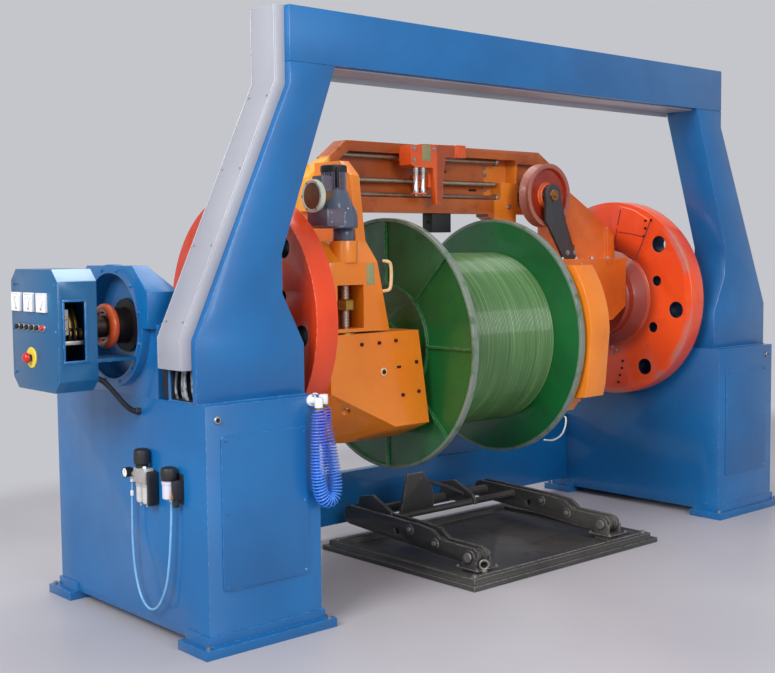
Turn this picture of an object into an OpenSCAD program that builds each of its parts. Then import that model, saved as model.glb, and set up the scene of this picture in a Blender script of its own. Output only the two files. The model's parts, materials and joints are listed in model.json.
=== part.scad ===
// Drum twister with a portal frame: a rotor of two discs turns a wire drum end over end
// while the drum itself turns between pintles and winds the wire that a carriage lays on.
// The origin is on the floor under the rotor's axis, midway between the pedestals.
// +X runs along that axis, away from the control box. -Y is the loading side.

/* [Pedestals] */
// Length over both pedestals' outer faces
overall_w = 4000; // [3800:10:4400]
// Width of one pedestal along the rotor's axis
pedestal_w = 550; // [500:10:600]
// Depth of a pedestal, front to back
pedestal_d = 1225; // [1150:5:1300]
// Distance from the rotor's axis to a pedestal's front face
pedestal_front = 640; // [600:5:660]
// Height of the rotor's axis above the pedestals' tops
bearing_h = 285; // [275:1:300]
// Height of the two-step feet under a pedestal
foot_h = 77; // [50:1:100]
// Width of a foot's strip, front to back
foot_d = 160; // [120:5:200]
// How far a foot's lower step stands out past the pedestal's faces
foot_out = 45; // [40:1:60]
// How far a foot's upper step stands out
foot_step = 10; // [6:1:12]
// Radius of the floor anchors' holes
anchor_r = 9; // [6:0.5:11]
// Thickness of a cover panel
cover_t = 6; // [3:1:10]
// Height of a cover panel
cover_h = 610; // [500:10:650]
// Distance from the pedestal's top to the cover's top
cover_top = 120; // [80:5:150]
// Distance from the pedestal's sides to the cover's edges
cover_side = 65; // [40:5:90]
// Radius of a cover panel's corners
cover_r = 18; // [8:1:30]

/* [Portal] */
// Top of the portal beam above the floor
portal_h = 2545; // [2500:5:2700]
// Height of the portal beam's section
beam_h = 225; // [180:5:260]
// Depth of the portal's legs and beam, front to back
portal_d = 208; // [160:2:260]
// How far the portal stands back from the pedestals' front
portal_back = 56; // [40:2:80]
// How far the portal's top corner stands in from the pedestal's outer face
shoulder_in = 470; // [400:10:500]
// How far below the beam a leg's outer edge starts to slant out
shoulder_drop = 90; // [60:5:120]
// How far below the rotor's axis a leg's outer edge meets the pedestal's face
hip_drop = 39; // [20:1:60]
// Heights above the rotor's axis between which a leg's inner edge stands upright
waist_low = 130; // [100:5:160]
waist_high = 295; // [260:5:330]
// How far a leg's waist stands in from the pedestal's inner face
waist_in = 132; // [100:2:160]
// How far a leg's inner edge leans over the pedestal's inner face at the beam
leg_lean = 157; // [120:1:180]
// Overhang and height of a leg's foot block inside the pedestal's inner face
heel_out = 28; // [10:1:40]
heel_h = 210; // [180:5:230]
// Thickness of the cable duct on the left leg
duct_t = 45; // [30:1:60]
// Width of the leg's strip that shows in front of the duct
duct_front = 30; // [20:1:40]
// Height of the cable window in the left leg
window_h = 125; // [100:5:150]
// Depth of the cable window
window_d = 100; // [60:5:120]
// Height of the cable tray's rear lip under the beam
tray_h = 31; // [20:1:40]
// Sheet of the cable tray
tray_t = 8; // [4:1:10]

/* [Bearings] */
// Length of a bearing block along the rotor's axis
block_l = 106; // [90:2:130]
// Half the width of a bearing block
block_hw = 300; // [270:5:320]
// Height of a bearing block's cap above the rotor's axis
cap_h = 250; // [235:5:270]
// Width and height of the chamfers on the cap
cap_chamfer = [110, 105];
// How far the round housing stands out of the block
ring_l = 40; // [30:1:60]
// Outer radius of the round housing
ring_r = 255; // [240:1:270]
// Radius of the recess in the round housing
recess_r = 219; // [190:1:225]
// Depth of that recess
recess_d = 80; // [50:5:100]

/* [Control box] */
// Length of the slip-ring box along the rotor's axis
box_l = 168; // [150:2:180]
// Gap between the box and the bearing's round housing
box_gap = 168; // [150:2:180]
// Half the width and half the height of the box
box_hw = 205; // [190:1:220]
box_hh = 242; // [230:1:260]
// Chamfer on the box's long edges
box_chamfer = 46; // [30:1:60]
// Sheet of the box
box_t = 8; // [4:1:12]
// Width and height of the window in the box's side
port_w = 85; // [60:5:100]
port_h = 230; // [180:5:260]
// Side of a panel meter
meter_a = 76; // [60:1:90]
// Distance between two meters' middles
meter_pitch = 111; // [100:1:115]
// Number of push buttons
buttons = 6; // [3:1:7]
// Radius of the emergency stop's plate
stop_r = 42; // [30:1:50]

/* [Rotor] */
// Height of the rotor's axis above the floor
axis_z = 1255; // [1240:5:1290]
// Radius of a rotor disc
disc_r = 568; // [540:2:580]
// Thickness of a rotor disc
disc_t = 115; // [80:1:130]
// Gap between a disc and its pedestal
disc_gap = 53; // [30:1:60]
// Pitch radii of the large and the small holes in a disc
hole_ring = 465; // [440:5:490]
small_ring = 345; // [320:5:370]
// Radii of the large and the small holes in a disc
hole_r = 45; // [30:1:50]
small_r = 28; // [20:1:35]
// Radius and length of the right disc's hub
hub_r = 215; // [200:1:216]
hub_l = 120; // [100:2:200]
// Radius and length of the flare that joins the hub to the disc
flare_r = 285; // [250:5:300]
flare_l = 65; // [40:1:70]
// Radius of the main shafts in their bearings
shaft_r = 75; // [60:1:90]
// Radius of the left shaft's end in the slip-ring box
tail_r = 45; // [42:1:55]
// Radius of the hole through the main shafts
shaft_bore_r = 35; // [20:1:38]
// Outer radius of the brake disc and radius of its rounded rim
brake_r = 96; // [85:1:110]
brake_rim = 22; // [14:1:26]

/* [Arms] */
// Thickness of the slab that carries the left arm on its disc
slab_t = 130; // [100:5:150]
// Width of the left arm's head along the rotor's axis, at its lower edge
head_w = 481; // [440:1:500]
// Half the depth of the left arm's head
head_hd = 350; // [330:5:360]
// Thickness of the head's front and back walls
head_t = 90; // [70:5:110]
// Heights of the head's lower edge, front edge and top, from the rotor's axis
head_low = -65; // [-75:1:-50]
head_edge = 248; // [220:2:270]
head_top = 345; // [320:5:370]
// Thickness of the rib that carries the traverse
rib_t = 55; // [40:1:70]
// Width and height of the slot that shows the lift screw
slot_w = 152; // [100:2:170]
slot_h = 196; // [150:2:220]
// Distance of the left lift screws from the disc
screw_in = 252; // [240:2:270]
// Distance of the left lift screws from the rotor's axis, front and back
screw_y = 305; // [295:1:312]
// Radius of the lift screws
screw_r = 20; // [14:1:24]
// Gap between the drum and the right column's guide face
column_gap = 344; // [320:2:360]
// Thickness of the right column
column_t = 140; // [110:5:160]
// Half the depth of the right column and head
column_hd = 200; // [170:5:230]
// Height of the right head's ledge above the rotor's axis
ledge_up = 220; // [217:1:225]
// Thickness of that ledge
ledge_t = 20; // [12:1:24]
// Front of the right arm's upper bracket, in front of the rotor's axis
bracket_front = 60; // [40:2:80]

/* [Traverse] */
// Gap between the drum's flanges and the traverse beam
drum_clear = 31; // [20:1:50]
// Height of the traverse beam's section
traverse_h = 348; // [320:2:360]
// Depth of the traverse beam, front to back
traverse_d = 95; // [85:1:120]
// Front of the traverse beam behind the rotor's axis
traverse_y = 60; // [50:1:80]
// Reach of the beam past the left arm's head and past the drum's right end
beam_left = 149; // [120:1:160]
beam_right = 524; // [500:2:540]
// Heights of the beam's upper and lower chords
chord_top = 50; // [40:1:60]
chord_low = 76; // [60:1:90]
// Thickness of the beam's web
web_t = 15; // [10:1:25]
// Radius of the guide rails and of the traverse screw
rail_r = 12; // [9:1:14]
// Radius of the guide sheave
sheave_r = 175; // [150:1:180]
// Width of the guide sheave
sheave_w = 70; // [50:1:75]
// Radius of the sheave's axle
axle_r = 25; // [18:1:30]

/* [Drum] */
// Radius of the drum's flanges
flange_r = 625; // [590:5:630]
// Thickness of a flange over its ribs
flange_t = 32; // [24:1:40]
// Thickness of a flange's plate
flange_plate = 12; // [8:1:18]
// Width of the drum over its flanges
drum_w = 800; // [760:5:810]
// Middle of the drum, measured left from the middle of the machine
drum_left = 124; // [110:1:135]
// Radius of the wound wire
pack_r = 448; // [320:2:520]
// Radius of the drum's barrel
barrel_r = 280; // [220:2:290]
// Wall of the drum's barrel
barrel_t = 12; // [6:1:20]
// Drum axis below the rotor's axis
drum_drop = 166; // [150:1:180]
// Radius of the pintles that carry the drum
pintle_r = 40; // [30:1:50]
// Reach of the pintles into the drum's flanges
pintle_in = 100; // [60:5:120]

/* [Lift] */
// Length of the lift's base along the rotor's axis
lift_w = 1380; // [1300:10:1450]
// Depth of the lift's base
lift_d = 1110; // [1050:10:1150]
// Front edge of the lift's base, in front of the rotor's axis
lift_front = 735; // [700:5:760]
// Middle of the lift, right of the middle of the machine
lift_x = 50; // [40:1:60]
// Thickness of the lift's base
lift_t = 50; // [40:1:60]
// Distance of a lifting arm's middle from the base's end
lift_arm_in = 195; // [180:5:220]
// Half the width of a lifting arm
lift_arm_hw = 36; // [30:1:42]
// How far the bushes stand out of each arm
bush_out = 4; // [2:1:6]
// Plate thickness of the lifting arms
lift_plate = 16; // [10:1:20]
// Radius of the lift's hinge pins
lift_pin_r = 15; // [10:1:20]
// Height of the hinge pins above the floor
lift_pin_z = 105; // [95:1:115]

/* [Hidden] */

$fn = 64;
seat = 0.3;
over = 1;
half_w = overall_w / 2;
ped_in = half_w - pedestal_w;
pedestal_h = axis_z - bearing_h;
pedestal_back = pedestal_d - pedestal_front;
foot_plate = foot_h / 2;
leg_y = -pedestal_front + portal_back;
leg_back = leg_y + portal_d;
beam_z = portal_h - beam_h;
disc_x = ped_in - disc_gap;
disc_in = disc_x - disc_t;
drum_z = axis_z - drum_drop;
drum_x0 = -drum_left - drum_w / 2;
drum_x1 = -drum_left + drum_w / 2;
tx0 = -disc_in + head_w - beam_left;
tx1 = drum_x1 + beam_right;
tz0 = drum_z + flange_r + drum_clear;
tz1 = tz0 + traverse_h;
blue = [0.20, 0.47, 0.75];
orange = [0.95, 0.55, 0.13];
red_orange = [0.92, 0.31, 0.14];
green = [0.14, 0.40, 0.18];
dark = [0.15, 0.15, 0.17];
steel = [0.62, 0.64, 0.66];
brass = [0.72, 0.55, 0.25];

// A solid whose outline lies in the XZ plane, from y0 back by depth
module xz(y0, depth) {
    translate([0, y0 + depth, 0]) rotate([90, 0, 0]) linear_extrude(depth) children();
}

// A solid whose outline lies in the YZ plane, from x0 along +X by length
module yz(x0, length) {
    translate([x0, 0, 0]) rotate([90, 0, 90]) linear_extrude(length) children();
}

// Round bars along X, Y and Z
module bar_x(x0, x1, r, y = 0, z = axis_z) {
    translate([x0, y, z]) rotate([0, 90, 0]) cylinder(h = x1 - x0, r = r);
}
module bar_y(y0, y1, r, x = 0, z = axis_z) {
    translate([x, y1, z]) rotate([90, 0, 0]) cylinder(h = y1 - y0, r = r);
}
module bar_z(z0, z1, r, x = 0, y = 0) {
    translate([x, y, z0]) cylinder(h = z1 - z0, r = r);
}

// A round bar along X with a hole through it
module tube_x(x0, x1, ro, ri, z = axis_z) {
    difference() {
        bar_x(x0, x1, ro, 0, z);
        bar_x(x0 - over, x1 + over, ri, 0, z);
    }
}

// A block between two opposite corners
module box(a, b) { translate(a) cube(b - a); }

// A rectangle with round corners between two opposite corners
module rounded(a, b, r) {
    translate([a[0] + r, a[1]]) square([b[0] - a[0] - 2 * r, b[1] - a[1]]);
    translate([a[0], a[1] + r]) square([b[0] - a[0], b[1] - a[1] - 2 * r]);
    for (x = [a[0] + r, b[0] - r], y = [a[1] + r, b[1] - r]) translate([x, y]) circle(r);
}

// An outline given for +Y, with its mirror image for -Y
module both_sides() {
    children();
    mirror([1, 0]) children();
}

// Sweeps a round section along a list of points
function unit(v) = v / norm(v);
module swept(path, r, sides) {
    n = len(path);
    rings = [for (i = [0 : n - 1])
        let (d = unit(path[min(i + 1, n - 1)] - path[max(i - 1, 0)]),
            a = unit(cross(d, [0.01, 1, 0.02])), b = cross(d, a))
        for (k = [0 : sides - 1]) path[i] + r * (cos(360 * k / sides) * a + sin(360 * k / sides) * b)];
    caps = [[for (k = [0 : sides - 1]) k], [for (k = [sides - 1 : -1 : 0]) (n - 1) * sides + k]];
    walls = [for (i = [0 : n - 2], k = [0 : sides - 1])
        let (k2 = (k + 1) % sides) [i * sides + k2, i * sides + k, (i + 1) * sides + k, (i + 1) * sides + k2]];
    polyhedron(rings, concat(caps, walls));
}

// A pedestal: a plate box on two strips of two-step feet, drawn for the left side
module pedestal_body() {
    box([-half_w, -pedestal_front, foot_plate], [-ped_in, pedestal_back, pedestal_h]);
    for (end = [-1, 1]) {
        face = end < 0 ? -pedestal_front : pedestal_back;
        difference() {
            strip(end, face, foot_out, 0, foot_plate);
            for (x = [-half_w - foot_out / 2, -ped_in + foot_out / 2])
                bar_z(-over, foot_plate + over, anchor_r, x, face + end * foot_out / 2);
        }
        strip(end, face, foot_step, foot_plate, foot_h);
    }
}
module strip(end, face, out, z0, z1) {
    y = [face - end * foot_d, face + end * out];
    box([-half_w - out, min(y), z0], [-ped_in + out, max(y), z1]);
}
module left_pedestal() { color(blue) pedestal_body(); }
module right_pedestal() { color(blue) mirror([1, 0, 0]) pedestal_body(); }

// The access covers on the pedestals' fronts
module pedestal_covers() {
    color(blue) for (side = [0, 1]) mirror([side, 0, 0])
        xz(-pedestal_front - cover_t, cover_t)
            rounded([-half_w + cover_side, pedestal_h - cover_top - cover_h],
                [-ped_in - cover_side, pedestal_h - cover_top], cover_r);
}

shoulder_x = -half_w + shoulder_in;
shoulder_z = beam_z - shoulder_drop;
hip_z = axis_z - hip_drop;
heel_z = pedestal_h + heel_h;
waist_x = -ped_in - waist_in;
window_z = [pedestal_h + tray_t, pedestal_h + tray_t + window_h];
module leg() {
    xz(leg_y, portal_d) polygon([[shoulder_x, beam_z], [shoulder_x, shoulder_z], [-half_w, hip_z],
        [-half_w, pedestal_h], [-ped_in - heel_out, pedestal_h], [-ped_in - heel_out, heel_z],
        [waist_x, axis_z + waist_low], [waist_x, axis_z + waist_high], [-ped_in + leg_lean, beam_z]]);
}
module left_leg() {
    color(blue) difference() {
        leg();
        box([-half_w - over, leg_y + duct_front, window_z[0]],
            [-half_w + window_d, leg_back - duct_front / 2, window_z[1]]);
    }
}
module right_leg() { color(blue) mirror([1, 0, 0]) leg(); }
module portal_beam() {
    color(blue) box([shoulder_x, leg_y, beam_z], [-shoulder_x, leg_back, portal_h]);
}

// The light duct down the left leg's outer edge, and the tray under the beam
module cable_duct() {
    tray_x = -ped_in + leg_lean;
    color([0.78, 0.78, 0.83]) {
        xz(leg_y + duct_front, portal_d - duct_front)
            polygon([[shoulder_x, portal_h], [shoulder_x, shoulder_z], [-half_w, hip_z],
                [-half_w, window_z[1]], [-half_w - duct_t, window_z[1]], [-half_w - duct_t, hip_z + duct_t / 4],
                [shoulder_x - duct_t, shoulder_z + duct_t / 4], [shoulder_x - duct_t, portal_h]]);
        yz(tray_x + over, -2 * tray_x - 2 * over) polygon([[leg_y + tray_h, beam_z],
            [leg_y + tray_h, beam_z - tray_t], [leg_back - tray_t, beam_z - tray_t],
            [leg_back - tray_t, beam_z - tray_h], [leg_back, beam_z - tray_h], [leg_back, beam_z]]);
    }
}
cables = 5;
cable_r = 9;
module duct_cables() {
    first = leg_y + duct_front + 2 * cable_r;
    pitch = (leg_back - duct_front / 2 - 2 * cable_r - first) / (cables - 1);
    color(dark) for (i = [0 : cables - 1])
        bar_z(window_z[0], window_z[1], cable_r, -half_w + window_d / 3, first + i * pitch);
}

// A bearing block: a base and a cap that meet in flanges at the axis, and a round housing
block_x = -half_w;
ring_x = block_x - ring_l;
flange_lip = 18;
flange_hh = 13;
module bearing_block() {
    difference() {
        union() {
            box([block_x, -block_hw, pedestal_h], [block_x + block_l, block_hw, axis_z]);
            box([block_x, -block_hw - flange_lip, axis_z - flange_hh],
                [block_x + block_l, block_hw + flange_lip, axis_z + flange_hh]);
            intersection() {
                yz(ring_x, block_l + ring_l) cap_outline();
                xz(-block_hw, 2 * block_hw) polygon([[ring_x, axis_z], [ring_x, axis_z + cap_h],
                    [block_x + block_l / 4, axis_z + cap_h],
                    [block_x + block_l, axis_z + cap_h - cap_chamfer[1]], [block_x + block_l, axis_z]]);
            }
            bar_x(ring_x, block_x, ring_r);
        }
        bar_x(ring_x - over, ring_x + recess_d, recess_r);
        bar_x(ring_x, block_x + block_l + over, shaft_r + seat);
    }
}
module cap_outline() {
    x = block_hw - cap_chamfer[0];
    translate([0, axis_z]) polygon([[-block_hw, 0], [block_hw, 0], [block_hw, cap_h - cap_chamfer[1]],
        [x, cap_h], [-x, cap_h], [-block_hw, cap_h - cap_chamfer[1]]]);
}
module left_bearing_bracket() { color(blue) bearing_block(); }
module right_bearing_bracket() { color(blue) mirror([1, 0, 0]) bearing_block(); }

// The slip-ring box: an eight-sided case, held off the bearing by a shelf
box_x1 = ring_x - box_gap;
box_x0 = box_x1 - box_l;
shelf_z = axis_z - brake_r - 20;
shelf_t = 12;
module octagon(in) {
    y = box_hw - in;
    z = box_hh - in;
    c = box_chamfer;
    translate([0, axis_z]) polygon([[-y, -z + c], [-y + c, -z], [y - c, -z], [y, -z + c],
        [y, z - c], [y - c, z], [-y + c, z], [-y, z - c]]);
}
module slip_ring_box() {
    port_x = box_x0 + (box_l - port_w) / 3;
    color(blue) {
        difference() {
            yz(box_x0, box_l) octagon(0);
            yz(box_x0 + box_t, box_l - 2 * box_t) octagon(box_t);
            bar_x(box_x1 - 2 * box_t, box_x1 + over, tail_r + box_t);
            box([port_x, -box_hw - over, axis_z - port_h / 2], [port_x + port_w, 0, axis_z + port_h / 2]);
        }
        box([box_x1, -box_hw, shelf_z - shelf_t], [ring_x, box_hw, shelf_z]);
    }
}
panel_y = 28;
module panel_meters() {
    color("white") for (i = [-1 : 1])
        xz0_meter(panel_y + meter_pitch * i);
}
module xz0_meter(y) {
    yz(box_x0 - cover_t, cover_t)
        rounded([y - meter_a / 2, axis_z + meter_pitch - meter_a / 2],
            [y + meter_a / 2, axis_z + meter_pitch + meter_a / 2], cover_t);
}
button_r = 11;
button_l = 20;
module panel_controls() {
    pitch = 2 * meter_pitch / (buttons - 1);
    stop_z = axis_z - meter_pitch;
    color(dark) for (i = [0 : buttons - 1]) {
        y = panel_y - meter_pitch + i * pitch;
        bar_x(box_x0 - button_l, box_x0, button_r, y, axis_z + button_r);
        bar_x(box_x0 - cover_t, box_x0, button_r + 4, y, axis_z + button_r);
    }
    color("red") {
        bar_x(box_x0 - cover_t, box_x0, stop_r, panel_y, stop_z);
        bar_x(box_x0 - 2 * button_l, box_x0 - cover_t, button_r, panel_y, stop_z);
        bar_x(box_x0 - 2 * button_l, box_x0 - button_l, stop_r / 2, panel_y, stop_z);
    }
}

// The black conduit from the box's end down into the pedestal's outer face
conduit_r = 11;
conduit_y = -150;
module box_conduit() {
    drop = 150;
    gland = button_l / 2;
    run = -half_w - box_x1 - 2 * gland;
    route = [for (t = [0 : 0.1 : 1]) [box_x1 + gland + run * t, conduit_y,
        axis_z - box_hh + box_chamfer - drop * (3 * pow(t, 2) - 2 * pow(t, 3))]];
    color(dark) {
        swept(route, conduit_r, 10);
        bar_x(-half_w - button_l, -half_w, conduit_r + 5, conduit_y, route[10][2]);
        bar_x(box_x1, box_x1 + button_l, conduit_r + 5, conduit_y, route[0][2]);
    }
}

// The air preparation unit and the pressure switch on the left pedestal's outer face
air_z = [530, 620, 690];
air_y = -230;
bowl_r = 19;
switch_y = -432;
module air_unit() {
    x = -half_w;
    color(steel) {
        box([x - 58, air_y - 45, air_z[1]], [x - 12, air_y + 45, air_z[2]]);
        box([x - 12, air_y - 30, air_z[1] + 10], [x, air_y + 30, air_z[2] - 10]);
        for (y = [air_y - 24, air_y + 24]) {
            bar_z(air_z[0] + 10, air_z[1], bowl_r, x - 35, y);
            bar_z(air_z[0], air_z[0] + 10, bowl_r / 2, x - 35, y);
        }
        bar_z(air_z[2], air_z[2] + 12, 24, x - 35, air_y);
        bar_z(air_z[2] + 12, air_z[2] + 75, 33, x - 35, air_y);
        bar_y(air_y + 45, air_y + 90, 10, x - 35, 655);
        bar_x(x - 66, x - 35, 21, air_y + 100, 660);
        bar_z(air_z[1], 660, 9, tube_path[0][0], tube_path[0][1]);
        box([x - 35, air_y + 80, 640], [x - 20, air_y + 110, 670]);
        box([x - 62, switch_y - 30, 590], [x - 8, switch_y + 30, 665]);
        box([x - 8, switch_y - 45, 570], [x, switch_y + 45, 690]);
        bar_z(665, 720, 33, x - 42, switch_y);
        bar_y(switch_y - 62, switch_y - 30, 14, x - 30, 600);
    }
}

// Route of the clear air tube that hangs in a loop below the air unit
tube_r = 5;
tube_path = [[-2030, -130, 620], [-2032, -130, 560], [-2034, -130, 480], [-2036, -132, 400], [-2037, -138, 320],
    [-2038, -152, 245], [-2039, -178, 180], [-2040, -215, 135], [-2040, -265, 115], [-2040, -315, 130],
    [-2040, -360, 175], [-2039, -395, 240], [-2038, -415, 320], [-2036, -425, 400], [-2034, -430, 470],
    [-2032, -432, 530], [-2030, -432, 590]];
module air_tube() { color([0.85, 0.9, 0.95]) swept(tube_path, tube_r, 8); }

// The two nozzles on the pedestal's inner front corner that the spiral hose joins
nozzle_z = 925;
hose_r = 32;
hose_path = [[-1490, -690, 925], [-1490, -690, 880], [-1494, -691, 820], [-1498, -692, 740], [-1498, -692, 660],
    [-1490, -690, 595], [-1470, -688, 550], [-1440, -686, 535], [-1412, -683, 555], [-1400, -675, 610],
    [-1399, -655, 690], [-1400, -632, 780], [-1400, -614, 840], [-1400, -610, 880], [-1400, -610, 925]];
module hose_coupling() {
    a = hose_path[0];
    b = hose_path[len(hose_path) - 1];
    z = nozzle_z + 25;
    color("white") {
        bar_y(a[1] - 12, -pedestal_front, 14, a[0], z);
        bar_z(nozzle_z, z + 14, 18, a[0], a[1]);
        bar_y(-pedestal_front - 10, -pedestal_front, 24, a[0], z);
        bar_x(-ped_in, b[0] + 12, 14, b[1], z);
        bar_z(nozzle_z, z + 14, 18, b[0], b[1]);
        bar_x(-ped_in, -ped_in + 10, 24, b[1], z);
    }
}
module spiral_hose() { color([0.25, 0.45, 0.85]) swept(hose_path, hose_r, 12); }

// The rear tie between the pedestals, with the guard plate on its right half
tie_z = [85, 360, 500];
tie_in = 45;
tie_t = 60;
module tie_beam() {
    y = pedestal_back - tie_in - tie_t;
    color(blue) {
        box([-ped_in, y, tie_z[0]], [ped_in, y + tie_t, tie_z[1]]);
        xz(y, tie_t) polygon([[drum_x1, tie_z[1] + seat], [ped_in, tie_z[1] + seat], [ped_in, tie_z[2]],
            [drum_x1 + tie_t, tie_z[2]]]);
    }
}

// The lift on the floor under the drum: a two-layer tray that carries the arms' hinge brackets
lift_y0 = -lift_front;
lift_y1 = lift_d - lift_front;
arm_mid = lift_w / 2 - lift_arm_in;
pin_y = -lift_front + 175;
rim_w = 90;
ear_t = 14;
module lift_base() {
    x0 = lift_x - lift_w / 2;
    x1 = lift_x + lift_w / 2;
    lip = lift_t / 2;
    color(dark) {
        box([x0, lift_y0, 0], [x1, lift_y1, lip]);
        difference() {
            box([x0 + lip, lift_y0 + lip, lip], [x1 - lip, lift_y1 - lip, lift_t]);
            box([x0 + rim_w, lift_y0 + rim_w, lip], [x1 - rim_w, lift_y1 - rim_w, lift_t + over]);
        }
        for (side = [-1, 1]) {
            x = lift_x + side * arm_mid;
            for (s = [-1, 1]) {
                ear_x = x + s * (lift_arm_hw + ear_t / 2 + 4) - ear_t / 2;
                yz(ear_x, ear_t) {
                    translate([pin_y - 45, lift_t]) square([90, lift_pin_z - lift_t]);
                    translate([pin_y, lift_pin_z]) circle(34);
                }
                box([ear_x, pin_y - 45, lip], [ear_x + ear_t, pin_y + 45, lift_t]);
            }
            bar_x(x - lift_arm_hw - ear_t - 10, x + lift_arm_hw + ear_t + 10, lift_pin_r, pin_y, lift_pin_z);
        }
    }
}

// The two lifting arms: pairs of cut plates with bushes, joined by a cross tube and a cradle
knee_y = pin_y + 270;
arm_back = lift_y1 - 40;
arm_top = lift_pin_z + 95;
module arm_plate() {
    z = lift_pin_z;
    difference() {
        union() {
            translate([pin_y, z]) circle(42);
            polygon([[pin_y - 10, z + 41], [knee_y - 60, z + 45], [knee_y, arm_top - 10], [knee_y + 110, arm_top],
                [arm_back, arm_top + 15], [arm_back, z + 10], [knee_y + 120, z - 20], [knee_y - 60, z - 36],
                [pin_y, z - 42]]);
            translate([arm_back, (arm_top + 15 + z + 10) / 2]) circle((arm_top + 5 - z) / 2);
        }
        translate([pin_y, z]) circle(lift_pin_r + seat);
        translate([knee_y + 260, z + 35]) circle(20);
    }
}
module lift_arms() {
    color(dark) {
        for (side = [-1, 1]) {
            x = lift_x + side * arm_mid;
            for (x0 = [x - lift_arm_hw, x + lift_arm_hw - lift_plate]) yz(x0, lift_plate) arm_plate();
            for (p = [[knee_y - 20, lift_pin_z + 20], [knee_y + 160, lift_pin_z + 60]])
                bar_x(x - lift_arm_hw - bush_out, x + lift_arm_hw + bush_out, 24, p[0], p[1]);
            tube_front(x);
        }
        bar_x(lift_x - arm_mid, lift_x + arm_mid, 24, arm_back - 30, arm_top - 30);
        bar_x(lift_x - arm_mid, lift_x + arm_mid, 18, knee_y + 380, lift_pin_z + 70);
        cradle();
    }
}

// A bush between an arm's plates at its hinge pin
module tube_front(x) {
    difference() {
        bar_x(x - lift_arm_hw, x + lift_arm_hw, 30, pin_y, lift_pin_z);
        bar_x(x - lift_arm_hw - over, x + lift_arm_hw + over, lift_pin_r + seat, pin_y, lift_pin_z);
    }
}

// The cradle on the cross tubes: two upright plates, a front plate and a strut between them
cradle_t = 16;
module cradle() {
    y = knee_y + 430;
    base = lift_pin_z + 60;
    xz(y, cradle_t) polygon([[-300, base], [-60, base], [-60, 262], [-130, 372], [-245, 372], [-264, 300]]);
    swept([[-150, y + 8, 340], [40, y + 8, 270], [drum_x1 - flange_t - 68, y + 8, 210]], 11, 10);
    for (x = [drum_x0 + flange_t + 60, drum_x1 - flange_t - 60 - cradle_t])
        yz(x, cradle_t) polygon([[knee_y + 340, lift_pin_z + 60], [arm_back, arm_top - 40], [arm_back - 20, arm_top + 60],
            [arm_back - 120, arm_top + 80], [knee_y + 360, lift_pin_z + 110]]);
}

// A rotor disc, drawn for the left side, with two rings of holes
module disc_body() {
    difference() {
        bar_x(-disc_x, -disc_in, disc_r);
        for (a = [47, 97, 148, 227, 277, 328])
            bar_x(-disc_x - over, -disc_in + over, hole_r, -hole_ring * sin(a), axis_z + hole_ring * cos(a));
        for (a = [72, 118, 252, 298])
            bar_x(-disc_x - over, -disc_in + over, small_r, -small_ring * sin(a), axis_z + small_ring * cos(a));
    }
}

// A body turned about the rotor's axis, whose outline gives radius and distance along +X from x0
module rotate_extrude_x(x0, z = axis_z) {
    translate([x0, 0, z]) rotate([0, 90, 0]) rotate_extrude() children();
}
module left_disc() { color(red_orange) disc_body(); }
pad_t = 12;
module right_disc() {
    color(red_orange) {
        difference() {
            mirror([1, 0, 0]) disc_body();
            bar_x(disc_in - over, disc_x + over, shaft_bore_r);
        }
        rotate_extrude_x(disc_in - hub_l) polygon([[shaft_bore_r, 0], [hub_r - 12, 0], [hub_r, 12],
            [hub_r, hub_l - flare_l], [flare_r, hub_l], [shaft_bore_r, hub_l]]);
        yz(disc_in - pad_t, pad_t) intersection() {
            translate([0, axis_z]) circle(disc_r - 25);
            translate([0, axis_z]) polygon([[-30, 300], [-190, 230], [-235, 330], [-290, 450], [-90, 560], [0, 500]]);
        }
    }
}

module left_shaft() {
    color(steel) {
        bar_x(box_x0 + 2 * box_t, ring_x + over, tail_r);
        bar_x(ring_x, -disc_x, shaft_r);
    }
}
module right_shaft() {
    color(steel) tube_x(disc_x, -ring_x, shaft_r, shaft_bore_r);
}

// The brake disc: a hub and a web inside a thick round rim
module brake_disc() {
    x = ring_x - brake_rim;
    color(red_orange) difference() {
        union() {
            rotate_extrude_x(x) translate([brake_r - brake_rim, 0]) circle(brake_rim - over);
            bar_x(x - brake_rim / 2, x + brake_rim / 2, brake_r - brake_rim);
        }
        bar_x(x - 2 * brake_rim, x + 2 * brake_rim, tail_r);
    }
}
rings = 5;
ring_t = 12;
module slip_rings() {
    pitch = (box_l - 6 * box_t) / rings;
    color(brass) for (i = [0 : rings - 1])
        tube_x(box_x0 + 3 * box_t + pitch * i, box_x0 + 3 * box_t + pitch * i + ring_t, 2 * tail_r + 20, tail_r);
}

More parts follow.
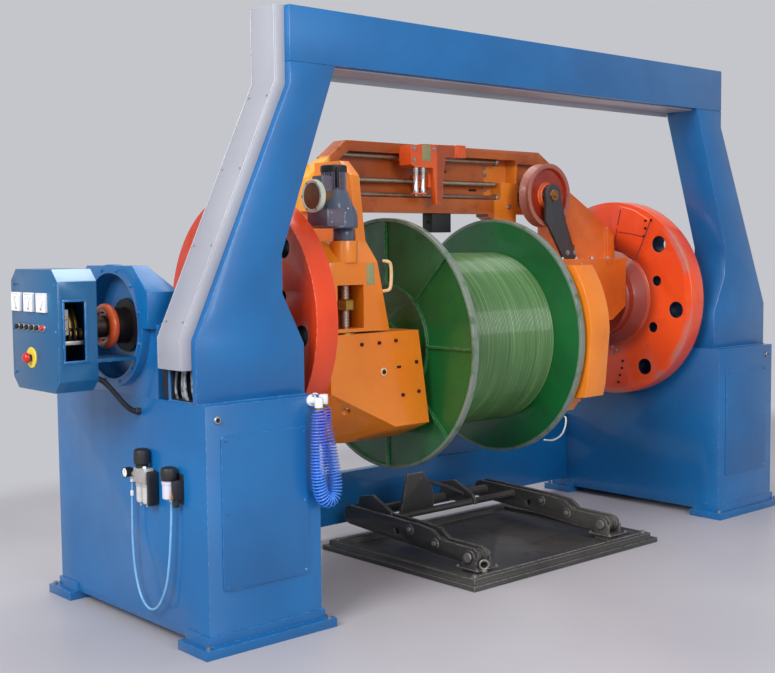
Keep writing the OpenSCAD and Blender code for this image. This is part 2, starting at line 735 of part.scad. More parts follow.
// The left arm: a slab on the disc, a deep head around the lift screws and a rib under the traverse
arm_x0 = -disc_in;
rail_x = arm_x0 + slab_t;
head_x = arm_x0 + head_w;
edge_z = axis_z + head_edge;
roof_z = axis_z + head_top;
roof_hd = head_hd - 105;
slab_hd = head_hd - 50;
screw_x = arm_x0 + screw_in;
slab_low = axis_z - disc_r + 33;
rib_x = head_x - rib_t - 49;
rib_top = tz1 - chord_top - 70;
module head_side(hd) {
    polygon([[-hd, axis_z + head_low], [-hd, edge_z], [-roof_hd, roof_z], [roof_hd, roof_z], [hd, edge_z],
        [hd, axis_z + head_low]]);
}
module left_arm() {
    color(orange) difference() {
        union() {
            yz(arm_x0, slab_t) polygon([[-slab_hd, slab_low], [-slab_hd, edge_z], [-roof_hd, roof_z],
                [roof_hd, roof_z], [slab_hd, edge_z], [slab_hd, slab_low]]);
            intersection() {
                yz(rail_x, head_w - slab_t) head_side(head_hd);
                xz(-head_hd, 2 * head_hd) polygon([[rail_x, axis_z + head_low], [head_x, axis_z + head_low],
                    [head_x - 69, edge_z], [head_x - 49, roof_z], [rail_x, roof_z]]);
            }
            yz(rib_x, rib_t) polygon([[-roof_hd, roof_z], [-roof_hd + 15, roof_z + 100],
                [-roof_hd + 40, rib_top - 70], [-roof_hd + 115, rib_top], [traverse_y + traverse_d + 40, rib_top],
                [roof_hd, roof_z]]);
            bar_z(edge_z, roof_z, 62, screw_x, -screw_y);
        }
        box([rail_x, -head_hd + head_t, axis_z + head_low - over], [head_x - 120, head_hd - head_t, edge_z]);
        box([screw_x - slot_w / 2 - over, -head_hd - over, edge_z - 101 - slot_h],
            [screw_x + slot_w / 2, -head_hd + head_t + over, edge_z - 101]);
        bar_z(axis_z + head_low - over, roof_z + over, screw_r + 4, screw_x, -screw_y);
        bar_z(axis_z + head_low - over, edge_z - 40, screw_r + 4, screw_x, screw_y);
        box([tx0, traverse_y, tz0], [tx1, traverse_y + traverse_d, tz1]);
    }
}

// The right arm: a guide column, a head that bolts to the disc's hub, and the upper bracket
column_x = drum_x1 + column_gap;
head_end = disc_in - hub_l;
ledge_z = axis_z + ledge_up;
column_low = axis_z - 555;
bracket_x1 = disc_in - 69;
band_t = 70;
slot_r = 16;
module right_arm() {
    color(orange) difference() {
        union() {
            box([column_x, -column_hd, column_low], [column_x + column_t, column_hd, ledge_z]);
            xz(-column_hd, 2 * column_hd) polygon([[column_x + column_t, ledge_z], [head_end, ledge_z],
                [head_end, axis_z - 35], [head_end - 120, axis_z - 110], [column_x + column_t, axis_z - 125]]);
            box([column_x - column_t, -column_hd, ledge_z], [head_end + 20, column_hd, ledge_z + ledge_t]);
            xz(-bracket_front, bracket_front + traverse_y + traverse_d) bracket_outline();
            xz(-bracket_front - ledge_t, ledge_t) intersection() {
                bracket_outline();
                translate([bracket_x1 - band_t, ledge_z]) square([band_t, 400]);
            }
        }
        xz(-bracket_front - over, 50) {
            for (z = [45, 85]) translate([tx1 + 60, ledge_z + ledge_t + z - 20]) circle(slot_r);
            translate([tx1 + 60 - slot_r, ledge_z + ledge_t + 25]) square([2 * slot_r, 40]);
        }
        bar_z(column_low - over, ledge_z + 5, screw_r + 4, column_x - 85, 0);
    }
}
module bracket_outline() {
    z = ledge_z + ledge_t;
    polygon([[tx1, z], [bracket_x1, z], [bracket_x1 - 11, z + 134], [bracket_x1 - 186, z + 266], [tx1, z + 390]]);
}

// The traverse beam: a channel with a deep lower chord, a slanted left end and an end block
cap_run = 243;
cap_rise = 158;
stop_x = drum_x1 + 117;
stop_l = 120;
module traverse_beam() {
    y0 = traverse_y;
    y1 = y0 + traverse_d - web_t;
    wall = 70;
    color(orange) difference() {
        union() {
            xz(y0, traverse_d) polygon([[tx0, tz0], [tx1, tz0], [tx1, tz1 - 60], [tx1 - 100, tz1],
                [tx0 + cap_run, tz1], [tx0, tz0 + cap_rise]]);
            xz(y0, traverse_d) difference() {
                polygon([[stop_x - 100, tz0], [stop_x - 100, tz0 - 20], [stop_x, tz0 - 45],
                    [stop_x + stop_l, tz0 - 45], [stop_x + stop_l, tz0]]);
                translate([stop_x - 100, tz0 - 62]) circle(46);
            }
        }
        xz(y0 - over, traverse_d - web_t + over) {
            polygon([[tx0 + wall, tz0 + chord_low], [stop_x, tz0 + chord_low], [stop_x, tz1 - chord_top],
                [tx0 + cap_run + 20, tz1 - chord_top], [tx0 + wall, tz0 + cap_rise + 10]]);
            translate([stop_x, tz1 - chord_top - 127]) square([stop_l + over, 127]);
            translate([stop_x + stop_l + 12, tz0 + chord_low / 2])
                square([tx1 - 40 - stop_x - stop_l - 12, traverse_h - chord_low / 2 - chord_top - 20]);
        }
        for (i = [0 : 2]) bar_x(rail_x0[i] - over, stop_x, rail_r + seat, rail_y, rail_z[i]);
        bar_x(stop_x - over, stop_x + stop_l + 13, rail_r + seat, rail_y, rail_z[1]);
    }
}
rail_y = traverse_y + 40;
rail_z = [tz0 + chord_low + 14, tz0 + chord_low + 85, tz1 - chord_top - 16];
rail_x0 = [tx0 + 50, tx0 + 50, tx0 + cap_run - 35];

// The gear motor that drives the lift screws: an upright motor on a worm gearbox with its cover
gear_y = -screw_y - 25;
gear_z = [roof_z, roof_z + 55, roof_z + 112, roof_z + 222, roof_z + 303, roof_z + 335];
module gearmotor() {
    motor_x = screw_x - 74;
    bell_r = 104;
    motor_r = 56;
    cover_z = gear_z[2] + 83;
    color([0.35, 0.38, 0.45]) {
        difference() {
            bar_z(gear_z[0], gear_z[1], 50, screw_x, -screw_y);
            bar_z(gear_z[0] - over, gear_z[0] + 10, screw_r + seat, screw_x, -screw_y);
        }
        bar_z(gear_z[1], gear_z[2], bell_r, motor_x, gear_y);
        translate([motor_x, gear_y, gear_z[2]]) cylinder(h = gear_z[3] - gear_z[2], r1 = bell_r, r2 = motor_r + 4);
        translate([0, 0, gear_z[1] + 6]) linear_extrude(78)
            rounded([motor_x - 118, gear_y - 98], [motor_x + 8, gear_y + 50], 12);
        bar_z(gear_z[3], gear_z[4], motor_r, motor_x, gear_y);
        bar_z(gear_z[4], gear_z[5], motor_r + 3, motor_x, gear_y);
        box([motor_x - 104, gear_y - 46, gear_z[4] - 90], [motor_x - 46, gear_y + 26, gear_z[4] - 18]);
        bar_x(motor_x - 136, motor_x - 110, 72, gear_y - 10, cover_z);
        bar_x(motor_x - 110, motor_x, 40, gear_y - 10, cover_z);
    }
}

// The carriage's two rails and screw, and the three screws that lift the carriers
screw_up = 190;
module rails_and_screws() {
    color(steel) {
        for (i = [0 : 2]) bar_x(rail_x0[i], i == 1 ? stop_x + stop_l : stop_x, rail_r, rail_y, rail_z[i]);
        bar_z(car_low + screw_up, gear_z[0] + 10, screw_r, screw_x, -screw_y);
        bar_z(car_low + screw_up, edge_z - 40, screw_r, screw_x, screw_y);
        bar_z(column_low + 10, ledge_z, screw_r, column_x - 85, 0);
    }
}

sheave_x = drum_x1 + 324;
sheave_z = tz0 + 100;
sheave_y = -110;
guard_t = 20;
module sheave_bracket() {
    y = sheave_y - 10;
    base = ledge_z + ledge_t;
    color(dark) {
        bar_y(y, traverse_y + traverse_d - web_t, axle_r, sheave_x, sheave_z);
        difference() {
            xz(y - guard_t, guard_t) {
                translate([sheave_x, sheave_z]) circle(62);
                polygon([[sheave_x - 58, sheave_z - 20], [sheave_x - 60, sheave_z - 140], [sheave_x + 90, base],
                    [sheave_x + 200, base], [sheave_x + 100, sheave_z - 130], [sheave_x + 60, sheave_z - 10]]);
            }
            bar_y(y - guard_t - over, y - over, axle_r - 8, sheave_x, sheave_z);
        }
        bar_y(y, sheave_y - seat, axle_r + 12, sheave_x, sheave_z);
        bar_y(sheave_y + sheave_w + seat, traverse_y, axle_r + 12, sheave_x, sheave_z);
    }
}
module guide_sheave() {
    w = sheave_w;
    r = sheave_r;
    color(red_orange) translate([sheave_x, sheave_y + w, sheave_z]) rotate([90, 0, 0]) rotate_extrude()
        polygon([[axle_r + seat, 4], [62, 4], [68, 24], [r - 34, 24], [r - 28, 0], [r, 0], [r - 20, w / 2],
            [r, w], [r - 28, w], [r - 34, w - 24], [68, w - 24], [62, w - 4], [axle_r + seat, w - 4]]);
}

// The sensor under the traverse that watches the wire
sensor_x = -45;
module wire_sensor() {
    color(dark) {
        box([sensor_x - 75, traverse_y + 10, tz0 - 100], [sensor_x + 60, traverse_y + traverse_d - 10, tz0]);
        bar_x(sensor_x + 60, sensor_x + 78, 12, traverse_y + 45, tz0 - 70);
    }
}

// The wire-laying carriage, drawn at its rest place on the rails
car_y = -30;
car_x = [-357, -182, 20];
module carriage() {
    back = rail_y + rail_r + 12;
    top = tz1 - 4;
    color(red_orange) difference() {
        union() {
            xz(car_y, traverse_y - car_y - seat) {
                polygon([[car_x[0], top - 106], [car_x[0], top - 10], [car_x[0] + 90, top], [car_x[1], top],
                    [car_x[1], top - 118], [car_x[0] + 26, top - 118]]);
                polygon([[car_x[1], top], [car_x[2], top + 4], [car_x[2], top - 60], [car_x[1], top - 60]]);
            }
            xz(car_y, 34) polygon([[car_x[1] - 30, top - 60], [car_x[1] + 62, top - 60], [car_x[1] + 45, top - 200],
                [car_x[1] + 34, top - 302], [car_x[1] - 4, top - 302], [car_x[1] - 16, top - 200]]);
            xz(car_y - 8, 10) polygon([[car_x[2] - 62, top + 4], [car_x[2], top + 4], [car_x[2], top - 60],
                [car_x[2] - 62, top - 60]]);
            box([car_x[0] + 20, traverse_y - over, rail_z[2] - rail_r - 4],
                [car_x[1], back, rail_z[2] + rail_r + 3]);
            box([car_x[1] - 30, car_y + 30, rail_z[1] - 34], [car_x[1] + 50, back, rail_z[1] + 34]);
        }
        bar_x(car_x[0] - over, car_x[2], rail_r + seat, rail_y, rail_z[2]);
        bar_x(car_x[0] - over, car_x[2], rail_r + seat, rail_y, rail_z[1]);
    }
}
roller_r = 13;
module wire_roller() {
    top = tz1 - 4 - 118;
    color(steel) {
        for (x = [car_x[0] + 49, car_x[0] + 97]) bar_z(top - 128, top, roller_r, x, car_y + 22);
        box([car_x[0] + 31, car_y + 8, top - 136], [car_x[0] + 115, car_y + 36, top - 128]);
    }
}

// The left carrier slides down the left arm on the lift screws
left_top = axis_z + head_low - 10;
car_low = drum_z - 439;
car_gap = 20;
car_l = [rail_x + seat, drum_x0 - 94, drum_x0 - car_gap];
module left_carrier() {
    front = drum_z - 354;
    keel = 146;
    color(orange) difference() {
        intersection() {
            xz(-head_hd, 2 * head_hd) polygon([[car_l[0], car_low], [car_l[0], left_top], [car_l[1], left_top],
                [car_l[2], car_low + 40], [car_l[2] - 20, car_low]]);
            yz(car_l[0], car_l[2] - car_l[0]) polygon([[-head_hd, front], [-keel, car_low], [keel, car_low],
                [head_hd, front], [head_hd, left_top], [-head_hd, left_top]]);
        }
        for (side = [0, 1]) mirror([0, side, 0]) keel_cut();
        for (y = [-screw_y, screw_y]) bar_z(car_low - over, left_top + over, screw_r + seat, screw_x, y);
    }
}

// The slanted plane that takes off a lower corner of the left carrier towards the disc
keel_tip = 42;
keel_turn = 57.5;
module keel_cut() {
    translate([car_l[0] + 87, -head_hd, left_top - 302]) rotate([0, keel_tip, keel_turn])
        translate([-500, -500, -400]) cube([1000, 1000, 400]);
}
module left_pintle() {
    color(steel) {
        bar_x(car_l[2], drum_x0 + pintle_in, pintle_r, 0, drum_z);
        bar_x(car_l[2], car_l[2] + car_gap / 2, pintle_r + 30, 0, drum_z);
    }
}

// The right carrier: a deep shell beside the flange, on a block that slides down the right column
shell_r = flange_r - 60;
shell_in = 78;
car_r = [drum_x1 + 24, drum_x1 + 174, column_x - seat];
shell_z = drum_z + 38;
module right_carrier() {
    right_top = ledge_z - 7;
    hd = shell_r + shell_in;
    color(orange) difference() {
        union() {
            yz(car_r[0], car_r[1] - car_r[0]) {
                intersection() {
                    translate([0, shell_z]) {
                        for (y = [-shell_in, shell_in]) translate([y, 0]) circle(shell_r);
                        translate([-shell_in, 0]) square([2 * shell_in, shell_r]);
                    }
                    translate([-hd, shell_z]) square([2 * hd, right_top - shell_z]);
                }
                polygon([[-hd, shell_z], [hd, shell_z], [hd - 26, shell_z - 270], [hd - 41, shell_z - 331],
                    [hd - 177, shell_z - 347], [hd - 240, shell_z - 426], [240 - hd, shell_z - 426],
                    [177 - hd, shell_z - 347], [41 - hd, shell_z - 331], [26 - hd, shell_z - 270]]);
            }
            box([car_r[1], -column_hd - 30, shell_z - 367], [car_r[2], column_hd + 30, right_top - 68]);
        }
        bar_z(shell_z - 430, right_top + over, screw_r + seat, column_x - 85, 0);
    }
}
module right_pintle() {
    color(steel) {
        bar_x(drum_x1 - pintle_in, car_r[0], pintle_r, 0, drum_z);
        bar_x(drum_x1 + 8, car_r[0], pintle_r + 30, 0, drum_z);
    }
}

// A drum flange, outer side towards -X: a plate with a rim, an inner ring, a boss and eight ribs
inner_ring = 300;
ribs = 8;
rib_w = 10;
module flange() {
    plate = flange_t - flange_plate;
    rotate([0, 90, 0]) rotate_extrude() polygon([[pintle_r + seat, 0], [110, 0], [110, plate],
        [inner_ring - 8, plate], [inner_ring - 8, 4], [inner_ring, 4], [inner_ring, plate], [flange_r - 16, plate],
        [flange_r - 16, 0], [flange_r, 0], [flange_r, flange_t], [pintle_r + seat, flange_t]]);
    for (i = [0 : ribs - 1]) rotate([360 * i / ribs, 0, 0])
        box([4, inner_ring - 4, -rib_w / 2], [plate + over, flange_r - 12, rib_w / 2]);
}
module left_flange() { color(green) translate([drum_x0, 0, drum_z]) flange(); }
module right_flange() { color(green) translate([drum_x1, 0, drum_z]) mirror([1, 0, 0]) flange(); }
module drum_barrel() {
    color(green) tube_x(drum_x0 + flange_t, drum_x1 - flange_t, barrel_r, barrel_r - barrel_t, drum_z);
}
module wound_wire() {
    color([0.5, 0.68, 0.45]) tube_x(drum_x0 + flange_t, drum_x1 - flange_t, pack_r, barrel_r, drum_z);
}

left_pedestal();
right_pedestal();
pedestal_covers();
left_leg();
right_leg();
portal_beam();
cable_duct();
duct_cables();
left_bearing_bracket();
right_bearing_bracket();
slip_ring_box();
panel_meters();
panel_controls();
box_conduit();
air_unit();
air_tube();
hose_coupling();
spiral_hose();
tie_beam();
lift_base();
left_disc();
right_disc();
left_shaft();
right_shaft();
brake_disc();
slip_rings();
left_arm();
right_arm();
traverse_beam();
rails_and_screws();
gearmotor();
sheave_bracket();
wire_sensor();
carriage();
wire_roller();
left_carrier();
left_pintle();
right_carrier();
right_pintle();
left_flange();
right_flange();
drum_barrel();
wound_wire();
guide_sheave();
lift_arms();
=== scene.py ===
import json
import math

import bpy
from mathutils import Matrix, Vector


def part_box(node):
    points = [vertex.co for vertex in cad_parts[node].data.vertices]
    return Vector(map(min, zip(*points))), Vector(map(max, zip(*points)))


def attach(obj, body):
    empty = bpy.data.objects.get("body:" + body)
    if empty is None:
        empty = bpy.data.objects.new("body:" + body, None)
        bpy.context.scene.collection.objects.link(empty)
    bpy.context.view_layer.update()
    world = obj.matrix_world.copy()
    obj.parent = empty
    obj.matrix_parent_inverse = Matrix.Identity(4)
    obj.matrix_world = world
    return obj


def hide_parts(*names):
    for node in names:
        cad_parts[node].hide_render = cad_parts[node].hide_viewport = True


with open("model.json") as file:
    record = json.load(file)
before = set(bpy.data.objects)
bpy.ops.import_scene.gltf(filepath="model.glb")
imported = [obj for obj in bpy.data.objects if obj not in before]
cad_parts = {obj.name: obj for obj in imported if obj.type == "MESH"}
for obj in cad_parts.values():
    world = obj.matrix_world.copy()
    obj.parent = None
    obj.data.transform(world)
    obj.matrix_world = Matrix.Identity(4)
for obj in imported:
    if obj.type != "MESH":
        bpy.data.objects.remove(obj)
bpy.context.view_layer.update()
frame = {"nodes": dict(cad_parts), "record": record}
bpy.ops.object.select_all(action="DESELECT")


# Camera
# It stands where the photograph was taken, at the height of a person's eyes off the machine's
# left front corner, and looks slightly down with a 56 mm lens.
camera_place = (-4.5156, -4.5274, 1.5670)
camera_yaw = 0.8456
camera_pitch = 0.0730
camera_roll = -0.0101
bpy.ops.object.camera_add(location=(0, 0, 0))
camera = bpy.context.object
camera.name = "camera"
camera.matrix_world = (Matrix.Translation(camera_place)
    @ Matrix.Rotation(camera_yaw - math.pi / 2, 4, "Z")
    @ Matrix.Rotation(math.pi / 2 - camera_pitch, 4, "X")
    @ Matrix.Rotation(camera_roll, 4, "Z"))
camera.data.lens = 56.34
camera.data.sensor_width = 36
camera.data.clip_end = 100
bpy.context.scene.camera = camera


# Floor and light
# A plain pale floor that turns up into a plain wall far behind the machine, under a broad soft lamp
# from the slip-ring side, a weaker one from the front, and an even pale sky.
class Link:
    """An output socket of a shader node, or a number, that takes part in sums."""

    def __init__(self, paint, socket):
        self.paint = paint
        self.socket = socket

    def math(self, operation, *others):
        inputs = dict(enumerate((self,) + others))
        return self.paint.node("ShaderNodeMath", inputs, operation=operation)

    def __add__(self, other):
        return self.math("ADD", other)

    __radd__ = __add__

    def __mul__(self, other):
        return self.math("MULTIPLY", other)

    __rmul__ = __mul__

    def __sub__(self, other):
        return self.math("SUBTRACT", other)

    def __rsub__(self, other):
        return self.math("MULTIPLY", -1.0).math("ADD", other)

    def __pow__(self, other):
        return self.math("POWER", other)

    def above(self, low, high):
        """0 below low, 1 above high and a smooth step between them."""
        return self.paint.node("ShaderNodeMapRange", {"Value": self, 1: low, 2: high},
            interpolation_type="SMOOTHSTEP")


class Paint:
    """A material whose nodes are added one call each."""

    def __init__(self, name):
        self.material = bpy.data.materials.new(name)
        self.material.use_nodes = True
        self.tree = self.material.node_tree
        self.shader = self.tree.nodes["Principled BSDF"]
        self.place = self.node("ShaderNodeTexCoord", {}, output="Object")

    def node(self, kind, inputs, output=0, **settings):
        """Adds a node with its settings, then feeds its sockets and gives back one output."""
        made = self.tree.nodes.new(kind)
        for setting, value in settings.items():
            setattr(made, setting, value)
        for key, value in inputs.items():
            self.feed(made.inputs[key], value)
        return Link(self, made.outputs[output])

    def feed(self, socket, value):
        """Links a socket to another one, or gives it a value."""
        if isinstance(value, Link):
            self.tree.links.new(value.socket, socket)
        elif hasattr(value, "__len__") and len(value) == 3 and len(socket.default_value) == 4:
            socket.default_value = tuple(value) + (1.0,)
        else:
            socket.default_value = value

    def noise(self, scale, detail=3.0, stretch=(1, 1, 1), roughness=0.5):
        where = self.node("ShaderNodeMapping", {"Vector": self.place, "Scale": stretch})
        return self.node("ShaderNodeTexNoise",
            {"Vector": where, "Scale": scale, "Detail": detail, "Roughness": roughness})

    def along(self, letter):
        """How far a point lies along the machine's X, Y or Z."""
        return self.node("ShaderNodeSeparateXYZ", {0: self.place}, output=letter)

    def mix(self, amount, first, second):
        """The first colour where the amount is 0 and the second where it is 1."""
        return self.node("ShaderNodeMix", {0: amount, 6: first, 7: second}, output=2, data_type="RGBA")

    def edge(self, radius):
        """1 on outer edges and corners, fading to 0 over the radius."""
        round_off = self.node("ShaderNodeBevel", {"Radius": radius}, samples=4)
        face = self.node("ShaderNodeNewGeometry", {}, output="Normal")
        turn = self.node("ShaderNodeVectorMath", {0: round_off, 1: face}, output="Value",
            operation="DOT_PRODUCT")
        return (1.0 - turn).above(0.02, 0.22)

    def bump(self, height, distance, strength=1.0, under=None):
        inputs = {"Height": height, "Distance": distance, "Strength": strength}
        if under is not None:
            inputs["Normal"] = under
        return self.node("ShaderNodeBump", inputs)

    def set(self, **values):
        """Feeds the shader's sockets by name and gives back the finished material."""
        for name, value in values.items():
            self.feed(self.shader.inputs[name.replace("_", " ")], value)
        return self.material


def rgb(red, green, blue):
    """A colour as read off a screen, 0 to 255, made linear."""
    parts = [channel / 255 for channel in (red, green, blue)]
    return tuple(c / 12.92 if c <= 0.04045 else ((c + 0.055) / 1.055) ** 2.4 for c in parts)


floor_paint = Paint("pale_floor")
floor_cloud = floor_paint.noise(0.6, 4.0)
floor_paint.set(
    Base_Color=floor_paint.mix(floor_cloud.above(0.3, 0.7), rgb(176, 173, 179), rgb(186, 183, 188)),
    Roughness=0.30 + 0.12 * floor_paint.noise(3.0))
floor_paint.shader.inputs["Specular IOR Level"].default_value = 0.2


def backdrop(paint, part):
    """Shows the paint as the even tone of the wall, as far as part is 1, to the camera and in gloss."""
    glow = paint.node("ShaderNodeEmission", {"Color": rgb(197, 198, 203), "Strength": 1.0})
    seen = paint.node("ShaderNodeLightPath", {}, output="Is Camera Ray")
    mirrored = paint.node("ShaderNodeLightPath", {}, output="Is Glossy Ray")
    shown = paint.node("ShaderNodeMixShader", {0: seen.math("MAXIMUM", mirrored) * part,
        1: Link(paint, paint.shader.outputs[0]), 2: glow})
    paint.tree.links.new(shown.socket, paint.tree.nodes["Material Output"].inputs["Surface"])


lit_length = 6.4
lit_depth = 3.0
machine_reach = ((floor_paint.along("X") * (1 / lit_length)) ** 2
    + (floor_paint.along("Y") * (1 / lit_depth)) ** 2) ** 0.5
backdrop(floor_paint, machine_reach.above(0.86, 1.12))
wall_paint = Paint("pale_wall")
wall_paint.set(Base_Color=wall_paint.mix(wall_paint.noise(0.3), rgb(196, 197, 203), rgb(202, 202, 206)),
    Roughness=0.8)
backdrop(wall_paint, 1.0)
floor_reach = 14.0
wall_height = 9.0
bpy.ops.mesh.primitive_plane_add(size=2 * floor_reach, location=(0, 0, 0))
floor = bpy.context.object
floor.name = "floor"
bpy.ops.object.mode_set(mode="EDIT")
bpy.ops.mesh.select_all(action="DESELECT")
bpy.ops.object.mode_set(mode="OBJECT")
for edge in floor.data.edges:
    ends = [floor.data.vertices[i].co for i in edge.vertices]
    edge.select = all(end.y > floor_reach - 0.1 for end in ends) or all(
        end.x > floor_reach - 0.1 for end in ends)
bpy.ops.object.mode_set(mode="EDIT")
bpy.ops.mesh.extrude_region_move(TRANSFORM_OT_translate={"value": (0, 0, wall_height)})
bpy.ops.object.mode_set(mode="OBJECT")
floor.data.materials.append(floor_paint.material)
floor.data.materials.append(wall_paint.material)
for face in floor.data.polygons:
    face.material_index = int(abs(face.normal.z) < 0.5)

world = bpy.data.worlds.new("even_sky")
world.use_nodes = True
bpy.context.scene.world = world
world.node_tree.nodes["Background"].inputs["Color"].default_value = (0.94, 0.96, 1.0, 1.0)
world.node_tree.nodes["Background"].inputs["Strength"].default_value = 0.46


def lamp(name, place, target, size, power):
    """A square soft lamp that faces a point of the machine."""
    bpy.ops.object.light_add(type="AREA", location=place)
    light = bpy.context.object
    light.name = name
    light.data.size = size
    light.data.energy = power
    aim = Vector(target) - Vector(place)
    light.rotation_euler = aim.to_track_quat("-Z", "Y").to_euler()


lamp("side_lamp", (-8.0, -2.6, 5.2), (-0.6, 0, 1.0), 4.0, 560)
lamp("front_lamp", (-2.0, -8.5, 4.2), (0.2, 0, 1.1), 4.0, 310)
lamp("top_lamp", (0.5, 1.0, 7.5), (0.2, 0, 1.0), 5.0, 250)
bpy.context.scene.view_settings.view_transform = "Standard"


# Air tube
# A clear 10 mm nylon tube that leaves the air unit, hangs in one long loop down the pedestal's outer
# face and comes back up into the pressure switch.
tube_path = [(-2.030, -0.130, 0.620), (-2.032, -0.130, 0.560), (-2.034, -0.130, 0.480),
    (-2.036, -0.132, 0.400), (-2.037, -0.138, 0.320), (-2.038, -0.152, 0.245),
    (-2.039, -0.178, 0.180), (-2.040, -0.215, 0.135), (-2.040, -0.265, 0.115),
    (-2.040, -0.315, 0.130), (-2.040, -0.360, 0.175), (-2.039, -0.395, 0.240),
    (-2.038, -0.415, 0.320), (-2.036, -0.425, 0.400), (-2.034, -0.430, 0.470),
    (-2.032, -0.432, 0.530), (-2.030, -0.432, 0.590)]
tube_diameter = 0.010


def smooth_route(points, steps):
    """More points on the curve that runs smoothly through the given ones."""
    route = []
    for i in range(len(points) - 1):
        a, b, c, d = (Vector(points[min(max(k, 0), len(points) - 1)]) for k in range(i - 1, i + 3))
        for k in range(steps):
            t = k / steps
            route.append(0.5 * (2 * b + (c - a) * t + (2 * a - 5 * b + 4 * c - d) * t * t
                + (3 * b - a - 3 * c + d) * t ** 3))
    return route + [Vector(points[-1])]


def round_cord(name, route, diameter, material, sides=3):
    """A curve of one spline through the route, as thick as the cord."""
    shape = bpy.data.curves.new(name, "CURVE")
    shape.dimensions = "3D"
    shape.bevel_depth = diameter / 2
    shape.bevel_resolution = sides
    shape.use_fill_caps = True
    line = shape.splines.new("POLY")
    line.points.add(len(route) - 1)
    for point, place in zip(line.points, route):
        point.co = (place[0], place[1], place[2], 1.0)
    shape.materials.append(material)
    cord = bpy.data.objects.new(name, shape)
    bpy.context.collection.objects.link(cord)
    return cord


clear = Paint("clear_nylon")
clear.set(Base_Color=clear.mix(clear.noise(40.0), rgb(120, 190, 245), rgb(160, 214, 250)),
    Roughness=0.18 + 0.1 * clear.noise(90.0), Coat_Weight=0.4)
clear.shader.inputs["Transmission Weight"].default_value = 0.35
tube_route = smooth_route(tube_path, 4)
air_tube = round_cord("air_tube_loop", tube_route, tube_diameter, clear.material)
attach(air_tube, "frame")
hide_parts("air_tube")


# Spiral hose
# A blue polyurethane recoil hose between two nozzles at the pedestal's inner front corner. It hangs in
# a U, so its turns stand a little apart along the bend and close up where the strands hang free.
hose_path = [(-1.490, -0.690, 0.925), (-1.490, -0.690, 0.880), (-1.494, -0.691, 0.820),
    (-1.498, -0.692, 0.740), (-1.498, -0.692, 0.660), (-1.490, -0.690, 0.595),
    (-1.470, -0.688, 0.550), (-1.440, -0.686, 0.535), (-1.412, -0.683, 0.555),
    (-1.400, -0.675, 0.610), (-1.399, -0.655, 0.690), (-1.400, -0.632, 0.780),
    (-1.400, -0.614, 0.840), (-1.400, -0.610, 0.880), (-1.400, -0.610, 0.925)]
hose_diameter = 0.007
coil_radius = 0.028
turns = 66
points_a_turn = 16
straight_ends = 0.03
nozzle_depth = 0.008


def coil_route(points, radius, turns, ends):
    """Turns round a path, which open out from its line at each end over the given length."""
    line = smooth_route(points, 24)
    lengths = [0.0]
    for a, b in zip(line, line[1:]):
        lengths.append(lengths[-1] + (b - a).length)
    across = Vector((1, 0, 0))
    route = [line[0]]
    steps = turns * points_a_turn
    at = 0
    for k in range(steps + 1):
        s = nozzle_depth + (lengths[-1] - 2 * nozzle_depth) * k / steps
        while lengths[at + 1] < s and at < len(line) - 2:
            at += 1
        share = (s - lengths[at]) / (lengths[at + 1] - lengths[at])
        place = line[at].lerp(line[at + 1], share)
        along = (line[at + 1] - line[at]).normalized()
        across = (across - along * across.dot(along)).normalized()
        opened = min(1.0, s / ends, (lengths[-1] - s) / ends)
        angle = 2 * math.pi * k / points_a_turn
        route.append(place + radius * opened ** 0.5 * (across * math.cos(angle)
            + along.cross(across) * math.sin(angle)))
    return route + [line[-1]]


hose_paint = Paint("blue_polyurethane")
hose_colour = hose_paint.mix(hose_paint.along("Z").above(0.60, 0.90), rgb(38, 118, 226), rgb(84, 84, 205))
hose_paint.set(Base_Color=hose_paint.mix(0.3 * hose_paint.noise(60.0), hose_colour, rgb(120, 180, 245)),
    Roughness=0.22 + 0.12 * hose_paint.noise(120.0), Coat_Weight=0.3)
hose_route = coil_route(hose_path, coil_radius, turns, straight_ends)
spiral_hose = round_cord("spiral_hose_turns", hose_route, hose_diameter, hose_paint.material, 2)
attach(spiral_hose, "frame")
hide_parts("spiral_hose")


# Pedestals
# Two welded plate boxes, painted gloss blue, each on two strips of two-step feet. Anchors hold the
# lower step to the floor, and a raised cover with a turn lock closes the front.
bodies = frame["record"]["behaviour"]["bodies"]


def body_of(node):
    """The moving or standing body that a CAD node belongs to."""
    return next(body for body, names in bodies.items() if node in names)


def at(node):
    """The lowest and highest corner of a CAD node, as vectors."""
    low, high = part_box(node)
    return Vector(low), Vector(high)


def pick(*pieces):
    """Selects the pieces and nothing else, and makes the first the active one."""
    bpy.ops.object.select_all(action="DESELECT")
    for piece in pieces:
        piece.select_set(True)
    bpy.context.view_layer.objects.active = pieces[0]


def joined(name, pieces):
    """Several pieces made one, in the place of the first."""
    pick(*pieces)
    if len(pieces) > 1:
        bpy.ops.object.join()
    pieces[0].name = name
    return pieces[0]


def aimed(axis):
    """The turn that points a piece's own z along the axis."""
    return Vector(axis).to_track_quat("Z", "Y").to_matrix().to_4x4()


def finish(piece, material, body, stands_for=(), smooth=35):
    """The last steps of a piece: its place goes into its mesh, and it gets its finish and body."""
    pick(piece)
    bpy.ops.object.transform_apply(location=True, rotation=True, scale=True)
    bpy.ops.object.shade_smooth_by_angle(angle=math.radians(smooth))
    piece.data.materials.clear()
    piece.data.materials.append(material)
    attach(piece, body)
    if stands_for:
        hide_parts(*stands_for)
    return piece


sharp_edge = 28


